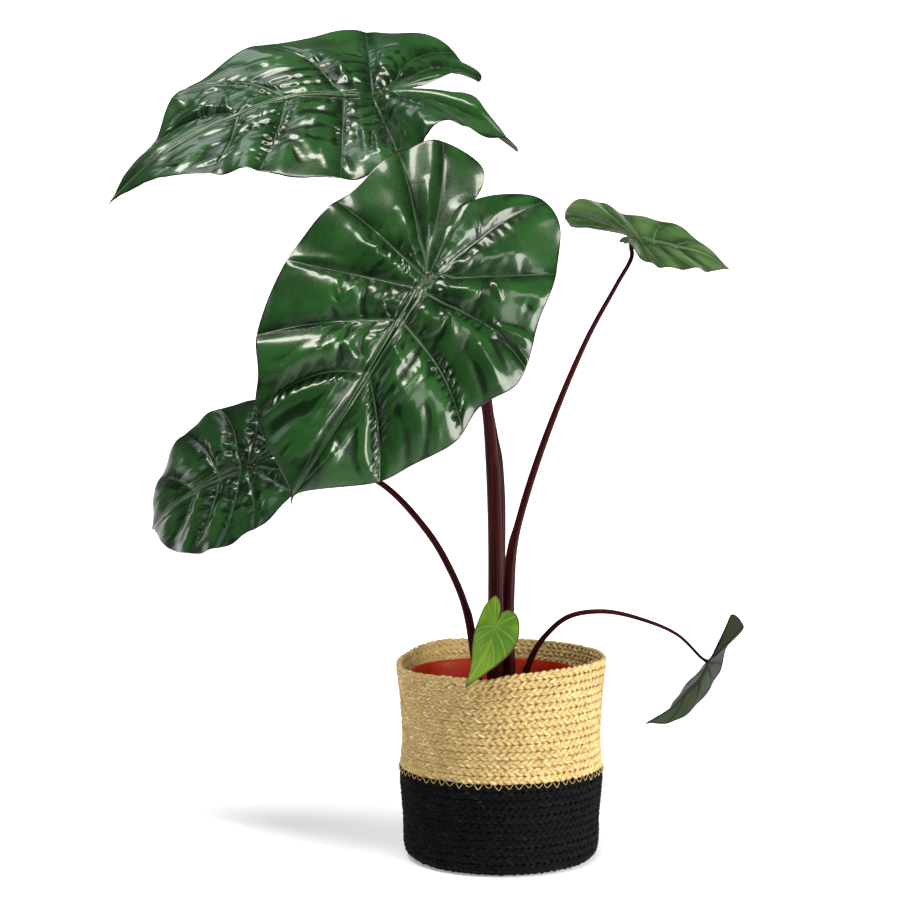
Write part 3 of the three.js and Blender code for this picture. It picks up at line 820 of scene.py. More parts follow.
def add_waves(fine, leaf, half, shares, draw):
    """Broad waves over each panel, and small pleats that run up to its veins."""
    fold_mid = bell(half.over, 0.3, 0.28) * half.crown ** 0.7
    length = half.length
    for panel in range(1, LAST_VEIN + 1):
        inside = half.within(panel, panel + 1)
        beat, shift, bow = draw.uniform(15, 21), draw.uniform(0, 6.28), draw.uniform(-14, 14)
        bent = length + bow * (half.phase - 0.5) ** 2 * 4 + draw.uniform(-8, 8) * half.phase
        waves = np.sin(TURN * bent / beat + shift + 1.2 * np.sin(length / 17 + shift))
        fine = fine + np.where(inside, leaf["fold"] * shares[panel - 1] * waves * fold_mid, 0)
        for apart in (half.past, half.short):
            window = bell(apart, 5.5, 3.6) * (1 - eased(half.over, 0.5, 0.95))
            pitch, strength = draw.uniform(7.5, 10), draw.uniform(0.2, 1)
            beat = length + 2 * np.sin(length / 11 + draw.uniform(0, 6))
            beat = beat + apart * draw.uniform(-0.5, 0.5)
            strength *= leaf["pleat"] * min(1, shares[panel - 1])
            pleats = strength * window * np.cos(TURN * beat / pitch)
            fine = fine + np.where(inside, pleats, 0)
    return fine


def add_beads(fine, leaf, half, draw):
    """Rows of beads beside a vein: its side of the blade and number, the side of the vein,
    the shares of the width where the row starts and ends, its pitch and its height."""
    for side, vein, way, low, high, pitch, height in leaf["beads"]:
        if side != half.side:
            continue
        apart = half.past if way > 0 else half.short
        start = vein if way > 0 else vein - 1
        window = bell(apart, 5.4, 3.2) * eased(half.over, low, low + 0.08)
        window = window * (1 - eased(half.over, high - 0.1, high))
        window = window * half.within(start, start + 1)
        beat = half.length + 1.4 * np.sin(half.length / 9 + draw.uniform(0, 6)) + apart * 0.35
        size = 0.75 + 0.35 * np.sin(half.length / 7.3 + draw.uniform(0, 6))
        fine = fine + height * window * size * np.cos(TURN * beat / pitch)
    return fine


def add_blisters(fine, leaf, half, shares, draw):
    """Oval blisters and dents, the placed ones and then small random crinkles: the place
    in panels and share of the width, the half lengths out and across, and the height."""
    spots = [spot[1:] for spot in leaf["blisters"] if spot[0] == half.side]
    for _ in range(leaf["crinkles"]):
        panel, share = draw.uniform(1.1, 7.2), draw.random()
        size = draw.uniform(2.2, 4.5)
        if share < 0.6:
            oval = (size * draw.uniform(1.5, 5), size)
        else:
            oval = (size, size * draw.uniform(1.5, 3.5))
        tall = size * draw.uniform(0.12, 0.32) * draw.choice((-1, 1, 1))
        tall *= shares[min(5, int(panel) - 1)]
        spots.append((panel, 0.08 + 0.8 * draw.random() ** 1.3, *oval, tall))
    for line_at, out_at, along, across, height in spots:
        c, r = half.nearest(line_at, out_at)
        u = (half.length - half.length[c, r]) / along
        v = (half.climb - half.climb[c]) / across
        fine = fine + height * np.exp(-((u * u + v * v) ** 1.3))
    return fine


def add_folds(fine, leaf, half):
    """Creases with a sharp crest: the side, the half width and height in mm, and the
    places along the crest in panels and shares of the width."""
    for side, wide, height, *places in leaf["folds"]:
        if side != half.side:
            continue
        spots = [half.points[half.nearest(*place)] for place in places]
        crest = smooth_run(spots, np.linspace(0, len(spots) - 1, 40))
        apart = np.sum((half.points[:, :, None, :] - crest) ** 2, axis=3)
        end = np.sin(math.pi * (0.08 + 0.84 * np.argmin(apart, axis=2) / 39)) ** 0.6
        slant = 1.05 - np.sqrt(np.min(apart, axis=2) / wide ** 2 + 0.01)
        fine = fine + height * end * np.clip(slant, 0, 1) ** 1.15
    return fine


def swell_half(leaf, half, upward, draw):
    """Lifts a half off its plain sheet: quilted panels, a wavy margin and all creases."""
    plump = np.array(leaf.get("plump", ((1,) * 7,) * 2)[half.number])
    plump = plump[np.minimum(half.lines - 1e-6, LAST_VEIN).astype(int)][:, None]
    shares = leaf.get("panels", ((1,) * 6,) * 2)[half.number]
    beside_vein = 1 - np.exp(-((half.near / 8.5) ** 1.3))
    pillow = 0.35 * half.crown ** 0.8 + 0.65 * half.crown ** 0.25 * beside_vein
    swell = leaf["quilt"] * plump * pillow * np.sin(math.pi * half.over) ** 0.7
    swell = swell + leaf["wave"] * np.sin(TURN * half.phase) * half.over ** 4
    seed = leaf["seed"] + half.number
    fine = 0.5 * puckers(half.points, 26, seed) * np.minimum(1, half.near / 6)
    fine = fine + puckers(half.points, 60, seed + 7) * np.minimum(1, half.near / 9)
    fine = fine * leaf["pucker"] * plump
    fine = add_waves(fine, leaf, half, shares, draw)
    fine = add_beads(fine, leaf, half, draw)
    fine = add_blisters(fine, leaf, half, shares, draw)
    fine = add_folds(fine, leaf, half)
    room = np.minimum(1, (half.past + half.short) / 14)
    swell = (swell + fine * room * eased(half.rib, 2.0, 7.0)) * half.narrow
    # How far each point lies below the mean of its neighbours; the finish paints shade into these
    # hollows.
    half.dip = evened(swell, (3, 6)) - swell
    edge_wave = 0.5 * puckers(half.points, 34, leaf["seed"] + 3) * half.over ** 6 * half.narrow
    half.body = half.points + upward * (swell + edge_wave)[..., None]


def face_half(leaf, half, upward, knee, tip):
    """The upper and lower face of a half, and the marks for its finish. Above, two cords
    edge the midrib and each vein is a groove with a thread in it; below, they are ribs."""
    fade = np.clip(1 - half.over, 0, 1) ** 0.7
    taper = 1 - eased(half.lines, 7.0, 8.0)[:, None] ** 2
    thick = (HALF_THICK - EDGE_LOSS * eased(half.over, 0.9, 1)) * taper
    from_knee = np.linalg.norm(half.body - knee, axis=2)
    along_rib = np.clip(from_knee / np.linalg.norm(tip - knee), 0, 1)
    apart = eased(from_knee, 5, 18)
    broad = leaf["rib"] * (0.4 + 1.7 * (1 - along_rib) ** 1.7)
    cord = 0.75 * broad * bell(half.rib, broad, 0.4 * broad)
    cord = cord + 0.1 * broad * (1 - eased(half.rib, 0, broad))
    beside = -0.5 * broad * bell(half.rib, broad * 1.9, broad * 0.5)
    thin = 0.35 + 0.45 * fade
    groove = -leaf["groove"] * fade ** 0.6 * bell(half.near, 0, 1.5 * thin + 0.5)
    thread = 0.35 * leaf["groove"] * fade ** 0.4 * bell(half.near, 0, 0.75 * thin)
    veins = (groove + thread) * eased(half.rib, broad, broad * 1.5)
    relief = ((cord + beside) * apart + veins) * half.narrow
    below = 1.2 * broad * bell(half.rib, 0, broad * 1.1)
    below = below + 0.9 * fade * bell(half.near, 0, 1.3 * thin) * eased(half.rib, 1, 4)
    below = below * half.narrow
    top = half.body + upward * (thick + relief * taper)[..., None]
    bottom = half.body - upward * (thick + below * taper)[..., None]
    # Pale paint for the midrib's two cords and for the veins: partly their own paler tone and
    # partly a painted highlight along their crests.
    rail = np.abs(half.rib - broad) * 1.1 - 0.5 + 1.1 * (1 - apart)
    pale = half.near * (0.55 + 0.75 * half.over)
    pale = pale - 0.5 * apart * (1 - eased(half.length, 20, 70))
    return top, bottom, np.minimum(pale, rail), half.rim, half.length, half.climb, half.dip


def blade_lines(columns, rows):
    """Where a half's grid lines cross the panels, and where its points lie along them."""
    steps = [round(columns * share) for share in (0.7, 1, 1, 1, 1, 1, 0.9)] + [TIP_STEPS]
    lines = [np.array([0.0])]
    for panel, count in enumerate(steps):
        x = np.arange(1, count + 1) / count
        bunching = 0.1 if panel <= LAST_VEIN else 0
        lines.append(panel + (x - bunching * np.sin(TURN * x)))
    x = np.linspace(0, 1, rows + 1)
    return np.concatenate(lines), x - 0.09 * np.sin(TURN * x) * (1 - x)


def round_edge(values):
    """Values over the upper face, carried round the edges and on to the lower one."""
    edge = values[:, :1]
    return np.concatenate([edge, values, values[:, -1:], values[:, ::-2], edge], 1)


def wrapped(values):
    """The same for every line of the skin, with the one that closes the lobes first."""
    flat = round_edge(values)
    return np.concatenate([flat[:1], flat], 0)


def blade(name, leaf, finish, columns, rows):
    """A heart-shaped blade: one closed skin with a quilted upper face, sunk veins above
    and standing ribs below. The leaf gives its knee, where the stem meets it; points of
    its midrib and of both margins from there to the tip; where its veins end and start,
    how far they bow and fork; and the heights of its relief, as the helpers use them."""
    knee, normal = np.array(leaf["knee"], float), knee_normal(leaf)
    midrib = [leaf["knee"], *leaf["midrib"]]
    tip, before = even_run(midrib, [1.0, 0.97])
    run = unit(tip - before)

    def spine(foot):
        beyond = np.clip(foot - 1, 0, 1)[..., None]
        curl = np.array(leaf.get("curl", (0, 0, 0)), float) * beyond ** 2
        return even_run(midrib, np.clip(foot, 0, 1)) + run * leaf["drip"] * beyond + curl

    lines, out = blade_lines(columns, rows)
    middle = even_run(midrib, np.linspace(0, 1, 90))
    sheets = [half_sheet(leaf, side, spine, lines, out) for side in (1, -1)]
    halves = [Half(side, sheet, lines, out, middle) for side, sheet in zip((1, -1), sheets)]
    draw = random.Random(leaf["seed"])
    for half, upward in zip(halves, sheet_normals(*sheets, normal)):
        swell_half(leaf, half, upward, draw)
    for half in halves:
        offset = half.body - knee
        flat = 1 - eased(np.linalg.norm(offset, axis=2), 4, 13)
        half.body -= normal * (np.sum(offset * normal, axis=2) * flat)[..., None]
    normals = sheet_normals(*(half.body for half in halves), normal)
    faces = [face_half(leaf, half, upward, knee, tip) for half, upward in zip(halves, normals)]

    def across(left, right):
        return np.concatenate([left[:, ::-1], right[:, 1:]], 1)

    top, bottom, near, rim, length, climb, dip = (across(*pair) for pair in zip(*faces))
    body = across(*(half.body for half in halves))
    first = (body[:, 0] + unit(body[:, 0] - body[:, 1]) * LIP)[:, None]
    last = (body[:, -1] + unit(body[:, -1] - body[:, -2]) * LIP)[:, None]
    ring = np.concatenate([first, top, last, bottom[:, ::-2], first], 1)
    back = (unit(body[0] - body[1]) * LIP + body[0])[None]
    ring = np.concatenate([round_edge(back), ring], 0)
    ring[-1] = spine(np.array([2.0]))[0]

    beneath = np.zeros(ring.shape[:2])
    beneath[:, top.shape[1] + 2:-1] = 1
    marks = {
        "vein": (wrapped(near), wrapped(rim), beneath),
        "sheet": (wrapped(length), wrapped(climb), beneath * 50),
        "hollow": (wrapped(dip),) * 3,
    }
    bm = bmesh.new()
    layers = {}
    for key, values in marks.items():
        layers[bm.verts.layers.float_vector.new(key)] = np.stack(values, -1)
    tube_grid(bm, ring * MM, layers)
    piece = finished("leaf_" + name, bm, finish, weld=0.00001)
    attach(piece, "root")
    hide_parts("blade_" + name)


def stalk_skin(name, dark, warm, stripe, tip_colour):
    """Smooth waxy skin of a stem, with fine streaks along it."""
    made = Finish(name, {"Specular IOR Level": 0.07})
    lay = made.mark("lay")
    streaks = made.grain(made.stretched(lay, (0.012, 1.2, 1.0)), 1.0, 4.0, 0.6)
    blotches = made.grain(made.place(), 38, 3.0)
    high = made.between(made.part(lay, 2), 0.55, 1.0) * made.between(blotches, 0.2, 0.7)
    colour = made.tint(made.between(streaks, 0.35, 0.7), dark, warm)
    colour = made.tint(made.between(streaks, 0.6, 0.8) * 0.5, colour, stripe)
    made.wear(made.tint(high, colour, tip_colour), made.between(blotches, 0.3, 0.7, 0.3, 0.42))
    made.relief((streaks, 0.35, 0.0003))
    return made


def leaf_skin(name, deep, fresh, vein, margin, back, back_vein, gloss, coat, tip=(9, 9, 9)):
    """Waxy blade skin: deep green and a fresher green mottled, with pale veins, a dark edge
    and tip and a duller, paler back. Painted shade deepens the green along the sunk veins
    and in the hollows of the relief, where the coat is thinner too; the pale lines on the
    veins and the midrib's cords are partly their own tone and partly a painted highlight."""
    made = Finish(name, {"Specular IOR Level": 0.24, "Coat Roughness": 0.1})
    near, rim, under = (made.part(made.mark("vein"), axis) for axis in range(3))
    sheet = made.mark("sheet")
    hairs = made.grain(made.stretched(sheet, (0.10, 0.75, 1.0)), 1.0, 4.0, 0.6)
    cross = made.grain(made.stretched(sheet, (0.5, 0.16, 1.0)), 1.0, 3.0, 0.55)
    cloud = made.grain(made.place(), 24, 3.0)
    shade = made.between(made.part(made.mark("hollow"), 0), 0.0, 0.7)
    # Partly painted shade: the green goes deep towards the sunk veins, partly the leaf's own
    # darker tissue there and partly shade in the creases; a random mottle adds tone.
    mottle_and_crease_shade = made.between(near, 0.5, 14.0, 0.0, 0.55) + made.between(cloud, 0.4, 0.6, 0.0, 0.45)
    colour = made.tint(mottle_and_crease_shade, deep, fresh)
    colour = made.tint(made.between(hairs, 0.4, 0.75) * 0.35, colour, fresh)
    # Painted shade: the green darkens towards deep in the hollows of the relief.
    colour = made.tint(shade * 0.85, colour, deep)
    # Partly painted highlight: pale lines on the veins and the midrib's cords, partly their own
    # paler tone.
    colour = made.tint(made.between(near, 1.0, 0.3) * 0.25, colour, vein)
    colour = made.tint(made.between(near, 0.2, -0.4) * 0.6, colour, vein)
    ends = {0: made.place(), 1: tip}
    from_tip = made.node("VectorMath", {"operation": "DISTANCE"}, ends, out=1)
    edge = made.between(rim, 1.7, 0.5)
    edge = made.maths("MAXIMUM", edge, made.between(from_tip, 0.011, 0.003))
    colour = made.tint(edge, colour, margin)
    dull = made.tint(made.between(hairs, 0.35, 0.7) * 0.6, back, deep)
    dull = made.tint(made.between(cloud, 0.45, 0.65) * 0.4, dull, fresh)
    dull = made.tint(made.between(near, 1.5, 0.5) * 0.8, dull, back_vein)
    dull = made.tint(edge, dull, margin)
    shine = made.between(cross, 0.3, 0.75, gloss, gloss + 0.1)
    coat = (coat - under * (coat - 0.03)) * (1 - shade * 0.8)
    made.wear(made.tint(under, colour, dull), shine + under * 0.2, coat)
    made.relief((cross, 0.12, 0.0005), (hairs, 0.1, 0.0003))
    return made


stem_maroon = stalk_skin(
    "stem_maroon", dark=(0.009, 0.0008, 0.0012), warm=(0.06, 0.004, 0.005),
    stripe=(0.13, 0.012, 0.013), tip_colour=(0.02, 0.003, 0.003),
)
deep_green = leaf_skin(
    "leaf_deep_green", deep=(0.001, 0.008, 0.001), fresh=(0.014, 0.062, 0.012),
    vein=(0.075, 0.15, 0.06), margin=(0.012, 0.003, 0.008), back=(0.05, 0.06, 0.035),
    back_vein=(0.10, 0.03, 0.035), gloss=0.21, coat=0.34,
)
top_left = {
    "knee": (-117, 75, 688),
    "midrib": [(-187, 59, 686), (-249, 42, 663), (-302, 26, 631), (-348, 14, 589)],
    "left": [
        (-64, 71, 692), (-28, 62, 686), (-12, 44, 670), (15, 40, 634), (1, 14, 643),
        (-16, -10, 646), (-57, -41, 648), (-88, -38, 618), (-141, -41, 603), (-213, -36, 610),
        (-295, -12, 604),
    ],
    "right": [
        (-71, 96, 702), (-35, 124, 716), (-16, 152, 714), (-41, 182, 743), (-80, 185, 762),
        (-128, 187, 764), (-226, 152, 746), (-296, 118, 700), (-324, 62, 638),
    ],
    "left_ends": [4, 6.5, 8, 9, 10, 10.5], "feet": [0, 0, 0, 0.1, 0.3, 0.48],
    "left_bends": [-0.5, -0.1, 0, 0, 0.06, 0.1], "right_bends": [-0.7, -0.25, 0, 0.22, 0.3, 0.4],
    "forks": ((1, 0.3), (1, 0.3)), "arch": (14, 10), "drip": 5, "curl": (-1, 0, -2),
    "quilt": 6, "wave": 3, "rib": 1.6, "groove": 0.8, "pucker": 1.7, "fold": 1.1,
    "pleat": 0.5, "crinkles": 130, "seed": 3,
    "beads": [
        (1, 5, 1, 0.12, 0.95, 8.5, 1.5), (1, 4, 1, 0.1, 0.6, 7.5, 1.3),
        (1, 4, -1, 0.15, 0.6, 8.0, 1.0), (-1, 4, 1, 0.1, 0.8, 8.0, 1.1),
        (-1, 5, 1, 0.1, 0.8, 8.0, 1.1),
    ],
    "blisters": [
        (1, 4.28, 0.2, 5, 10, 1.8), (1, 3.85, 0.52, 14, 6, 2.2), (1, 3.28, 0.72, 18, 4, 2),
        (-1, 4.2, 0.58, 4, 4, 1.2), (-1, 3.65, 0.32, 12, 4, 1.8), (-1, 2.48, 0.25, 5, 12, 2),
        (-1, 4.6, 0.68, 14, 8, 2.4), (-1, 4.6, 0.85, 14, 4, -1.8), (-1, 5.35, 0.67, 7, 5, 2),
        (-1, 5.23, 0.78, 16, 5, -2), (-1, 5.88, 0.7, 24, 4, 2.4), (-1, 5.95, 0.7, 22, 4, -2.4),
        (-1, 6.33, 0.72, 12, 4, 1.6), (1, 6.55, 0.25, 16, 4, 1.6), (-1, 5.2, 0.47, 20, 5, -2.2),
        (1, 6.28, 0.8, 12, 5, 1.6), (1, 6.25, 0.67, 14, 4, 1.4), (1, 5.05, 0.17, 5, 8, 1.2),
    ],
    "folds": [
        (1, 6, 2.6, (4.03, 0.49), (3.8, 0.42), (3.58, 0.5), (3.53, 0.68), (3.58, 0.83)),
        (1, 4, 2.0, (3.25, 0.57), (3.33, 0.82)), (1, 3.5, 1.7, (3.03, 0.6), (3.1, 0.8)),
        (1, 3.5, 1.7, (2.83, 0.68), (3.0, 0.82)),
        (1, 4, 2.2, (2.58, 0.6), (2.62, 0.73), (2.65, 0.88)),
        (1, 3.5, 2.0, (2.35, 0.77), (2.45, 0.95), (2.58, 1.0)),
        (1, 3, 1.6, (2.5, 0.57), (2.25, 0.67)), (1, 5, 2.2, (4.3, 0.68), (4.2, 0.88)),
        (1, 4.5, 2.0, (3.95, 0.77), (3.85, 0.92)),
        (1, 7, 2.4, (4.98, 0.67), (4.78, 0.57), (4.55, 0.62), (4.38, 0.77)),
        (1, 4, -1.6, (4.7, 0.7), (4.55, 0.85)),
        (1, 4, 2.2, (4.5, 0.42), (4.4, 0.35), (4.25, 0.34)),
        (1, 2.4, 1.5, (4.95, 0.35), (4.88, 0.35)), (1, 2.6, 1.6, (4.98, 0.42), (4.88, 0.44)),
        (1, 2.8, 1.8, (5.0, 0.52), (4.9, 0.52)), (1, 2.6, 1.6, (5.03, 0.65), (4.95, 0.63)),
        (1, 2.4, 1.5, (5.05, 0.73), (4.98, 0.73)), (1, 2.4, 1.5, (5.08, 0.88), (5.0, 0.88)),
        (1, 2.6, 1.5, (5.43, 0.39), (5.33, 0.4)), (1, 2.8, 1.6, (5.35, 0.75), (5.23, 0.75)),
        (1, 4, 2.2, (6.45, 0.7), (6.33, 0.72), (6.23, 0.63)),
        (1, 4, 2.2, (6.18, 0.88), (6.08, 0.8), (6.0, 0.73)),
        (-1, 3, 2.2, (5.73, 0.92), (5.7, 0.83), (5.73, 0.63)),
        (-1, 3.5, -2.4, (5.88, 0.85), (5.95, 0.68), (5.85, 0.6)),
        (-1, 3, 1.8, (6.05, 0.8), (6.12, 0.62), (6.08, 0.57)),
        (-1, 2.6, 2.0, (6.3, 0.09), (6.08, 0.52), (5.88, 0.55), (5.78, 0.5)),
        (-1, 2.6, 1.8, (5.43, 0.58), (5.62, 0.45), (5.83, 0.34)),
        (-1, 2.8, 2.0, (4.93, 0.4), (4.9, 0.24)), (-1, 2.6, 1.7, (5.28, 0.25), (5.03, 0.25)),
        (-1, 5, -2.6, (5.3, 0.63), (5.25, 0.45), (5.12, 0.24)),
        (-1, 5, 2.4, (5.25, 0.98), (5.5, 0.85)), (-1, 3, 1.6, (5.5, 0.77), (5.65, 0.7)),
        (-1, 2.2, 1.3, (5.53, 0.22), (5.7, 0.09)), (1, 3.4, 1.5, (6.18, 0.49), (6.12, 0.45)),
        (-1, 4.5, 2.2, (3.62, 0.45), (3.7, 0.29), (3.6, 0.17)),
        (-1, 3.4, 2.0, (3.38, 0.19), (3.23, 0.15)),
        (-1, 4, 2.2, (2.83, 0.2), (2.4, 0.32), (2.05, 0.37)),
        (-1, 2.4, 1.4, (1.85, 0.45), (1.78, 0.47)), (-1, 2.4, 1.4, (1.75, 0.53), (1.7, 0.55)),
        (-1, 2.4, 1.4, (1.68, 0.6), (1.62, 0.63)), (-1, 4, -2.2, (3.48, 0.6), (3.23, 0.57)),
        (-1, 3, 1.8, (3.2, 0.6), (3.1, 0.57)), (-1, 2.6, 1.5, (3.88, 0.62), (3.9, 0.52)),
        (-1, 3, 1.6, (4.03, 0.29), (3.93, 0.25)), (-1, 3, 1.7, (4.45, 0.17), (4.4, 0.15)),
        (-1, 2.8, 1.8, (4.7, 0.24), (4.62, 0.22)), (-1, 2.8, 1.8, (4.55, 0.15), (4.5, 0.14)),
        (1, 3, 1.7, (4.4, 0.2), (4.17, 0.17)), (1, 2.6, 1.6, (3.98, 0.29), (3.78, 0.29)),
        (1, 2.6, 1.6, (3.25, 0.34), (3.15, 0.35)), (1, 2.6, 1.6, (3.03, 0.39), (2.88, 0.44)),
        (1, 2.6, 1.6, (2.7, 0.52), (2.68, 0.57)), (1, 2.6, 1.5, (3.48, 0.09), (3.3, 0.09)),
    ],
}
petiole("top_left", top_left, {
    "path": [
        (-1, 3, 118), (-2, 4, 150), (-3, 6, 229), (-3, 17, 325), (-8, 25, 378), (-21, 36, 436),
        (-44, 50, 509), (-81, 72, 602), (-106, 87, 660),
    ],
    "radii": [(0, 5), (0.06, 7), (0.3, 5.8), (0.6, 4.8), (1, 3.4)],
    "sheath": (0.42, 1.6, 0.3),
}, stem_maroon)
blade("top_left", top_left, deep_green, 38, 96)

# Middle leaf: the one that faces the camera, with the widest panels. The veins of its
# two lobes fork a little way from the stem.
centre = {
    "knee": (-65, -130, 513),
    "midrib": [(-92, -149, 469), (-125, -169, 414), (-154, -182, 368), (-172, -188, 339)],
    "left": [
        (-50, -117, 546), (-31, -103, 576), (27, -75, 586), (47, -79, 560), (44, -95, 520),
        (30, -112, 483), (10, -134, 427), (-21, -147, 408), (-41, -158, 380), (-77, -169, 361),
        (-103, -176, 348),
    ],
    "right": [
        (-43, -111, 552), (-19, -88, 591), (-20, -79, 612), (-52, -76, 631), (-90, -88, 622),
        (-125, -109, 589), (-147, -120, 572), (-180, -140, 528), (-203, -161, 466),
        (-201, -172, 435), (-202, -178, 402),
    ],
    "left_ends": [1.65, 3.3, 5.05, 6.75, 8.75, 11], "right_ends": [4, 5, 6.7, 8, 9, 11],
    "feet": [0, 0, 0, 0.05, 0.2, 0.45],
    "left_bends": [0, 0.15, 0, 0.15, 0.18, 0.06],
    "right_bends": [0.06, 0.08, 0.08, 0, 0.12, 0.28],
    "forks": ((2, 0.16), (1, 0.22)), "arch": (3, 3), "drip": 8, "curl": (3, 0, -3),
    "quilt": 7, "wave": 2.4, "rib": 1.6, "groove": 0.8, "pucker": 1.7, "fold": 1.0,
    "pleat": 0.45, "crinkles": 45, "seed": 17,
    "panels": ((0.3, 0.5, 1, 1, 1.2, 1), (0.15, 0.4, 0.7, 1, 1, 0.8)),
    "plump": ((0.4, 0.6, 0.7, 1, 1, 1.4, 1.5), (0.25, 0.35, 0.45, 0.8, 1.2, 1.5, 1.3)),
    "beads": [
        (1, 5, 1, 0.35, 0.95, 8.2, 1.2), (1, 6, -1, 0.08, 0.6, 8.0, 1.6),
        (1, 5, -1, 0.4, 0.95, 8.2, 1.7), (1, 6, 1, 0.15, 0.95, 7.5, 1.2),
        (-1, 6, 1, 0.15, 0.9, 8.0, 0.9), (-1, 3, 1, 0.1, 0.45, 8.0, 1.3),
    ],
    "blisters": [
        (1, 4.48, 0.14, 9, 10, 3.2), (1, 5.5, 0.12, 10, 11, 3.2), (1, 3.6, 0.32, 8, 8, 2.2),
        (1, 3.58, 0.14, 5, 5, -1.4), (1, 4.17, 0.34, 8, 12, 1.6), (1, 3.35, 0.57, 4, 8, 1.6),
        (1, 3.95, 0.75, 20, 4.5, 2.2), (1, 5.6, 0.49, 20, 4.5, 2), (1, 5.5, 0.73, 25, 5, 2),
        (1, 5.35, 0.93, 14, 4, 1.6), (1, 6.53, 0.35, 7, 4, 1.4), (1, 6.75, 0.37, 8, 4, 1.4),
        (1, 2.65, 0.53, 18, 6, 1.2), (1, 3.43, 0.87, 14, 6, 1.4), (-1, 3.9, 0.7, 16, 6, 1.4),
        (-1, 3.45, 0.5, 14, 5, 1.4), (-1, 6.1, 0.7, 18, 5, 1.2), (1, 4.62, 0.78, 16, 7, 1.4),
    ],
    "folds": [
        (-1, 8.5, 4.0, (5.38, 0.39), (5.58, 0.45), (5.62, 0.62), (5.65, 0.77), (5.6, 0.93)),
        (-1, 6.8, 3.2, (5.53, 0.35), (5.73, 0.25), (5.9, 0.12)),
        (-1, 9.3, 4.4, (6.08, 0.2), (6.12, 0.3), (6.18, 0.52), (6.18, 0.73), (6.12, 0.92)),
        (-1, 6.8, 3.2, (6.45, 0.24), (6.43, 0.5), (6.43, 0.62), (6.43, 0.78), (6.45, 0.92)),
        (-1, 2.6, 1.2, (6.55, 0.2), (6.53, 0.47), (6.48, 0.62)),
        (-1, 3, 1.3, (6.7, 0.24), (6.65, 0.6), (6.65, 0.82)),
        (1, 6.0, 2.8, (6.18, 0.04), (6.25, 0.07), (6.35, 0.07)),
        (1, 2.4, 1.2, (6.18, 0.19), (6.23, 0.22), (6.33, 0.2), (6.4, 0.14)),
        (1, 6.0, 2.8, (6.55, 0.3), (6.53, 0.49)),
        (1, 6.0, 2.8, (6.6, 0.17), (6.75, 0.14), (6.88, 0.14)),
        (1, 7.6, 3.6, (6.1, 0.2), (6.15, 0.35), (6.2, 0.53), (6.2, 0.73), (6.1, 0.92)),
        (1, 2.2, 1.0, (6.12, 0.44), (6.08, 0.39), (6.03, 0.45), (6.03, 0.52)),
        (-1, 6.8, 2.6, (4.12, 0.34), (4.28, 0.4), (4.58, 0.39), (4.95, 0.32)),
        (-1, 3, 1.8, (4.1, 0.4), (4.33, 0.45), (4.58, 0.49)),
        (-1, 3, 1.4, (4.23, 0.58), (4.35, 0.57), (4.48, 0.53)),
        (-1, 3, 1.3, (4.58, 0.57), (4.7, 0.5), (4.85, 0.45)),
        (-1, 3, 1.8, (4.55, 0.22), (4.7, 0.17), (4.98, 0.1)),
        (1, 3, 1.8, (4.2, 0.22), (4.38, 0.27), (4.6, 0.29), (4.8, 0.24)),
        (1, 6.8, 2.6, (4.15, 0.3), (4.33, 0.34), (4.55, 0.39)),
        (1, 2.4, 1.3, (5.35, 0.35), (5.33, 0.42), (5.23, 0.37), (5.2, 0.29)),
        (1, 7.6, 3.6, (4.05, 0.63), (3.93, 0.75), (3.85, 0.87), (3.8, 0.98)),
        (1, 2.6, 1.7, (3.1, 0.5), (3.38, 0.55), (3.58, 0.62)),
        (1, 2.6, 1.6, (3.43, 0.4), (3.62, 0.42), (3.75, 0.39), (3.83, 0.34)),
        (1, 2.2, 1.2, (3.48, 0.17), (3.68, 0.17), (3.83, 0.14)),
        (1, 11.9, 5.6, (4.25, 0.58), (4.35, 0.73), (4.38, 0.93)),
        (-1, 8.5, 2.3, (2.3, 0.55), (2.38, 0.35), (2.68, 0.14)),
        (-1, 7.6, 2.1, (1.4, 0.68), (1.4, 0.52), (1.3, 0.3)),
        (-1, 7.6, 2.1, (0.7, 0.35), (0.68, 0.55), (0.43, 0.75)),
        (1, 8.5, 2.3, (1.88, 0.52), (1.73, 0.72), (1.78, 0.83), (1.9, 0.98)),
        (1, 2.4, 1.5, (1.5, 0.72), (1.85, 0.49)),
        (1, 6.0, 2.3, (2.6, 0.2), (2.43, 0.29), (2.3, 0.37)),
        (-1, 2.4, 1.5, (3.43, 0.47), (3.18, 0.47)), (-1, 2.4, 1.5, (3.53, 0.4), (3.28, 0.39)),
        (-1, 2.4, 1.5, (3.6, 0.27), (3.33, 0.24)),
    ],
}
petiole("centre", centre, {
    "path": [
        (-5, -17, 118), (-6, -18, 150), (-6, -24, 238), (-8, -38, 329), (-14, -60, 407),
        (-20, -72, 437), (-32, -84, 471), (-51, -95, 500),
    ],
    "radii": [(0, 5), (0.08, 7.2), (0.4, 5.9), (0.7, 5), (1, 3.4)],
    "sheath": (0.55, 1.4, 0.2),
}, stem_maroon)
blade("centre", centre, deep_green, 38, 96)

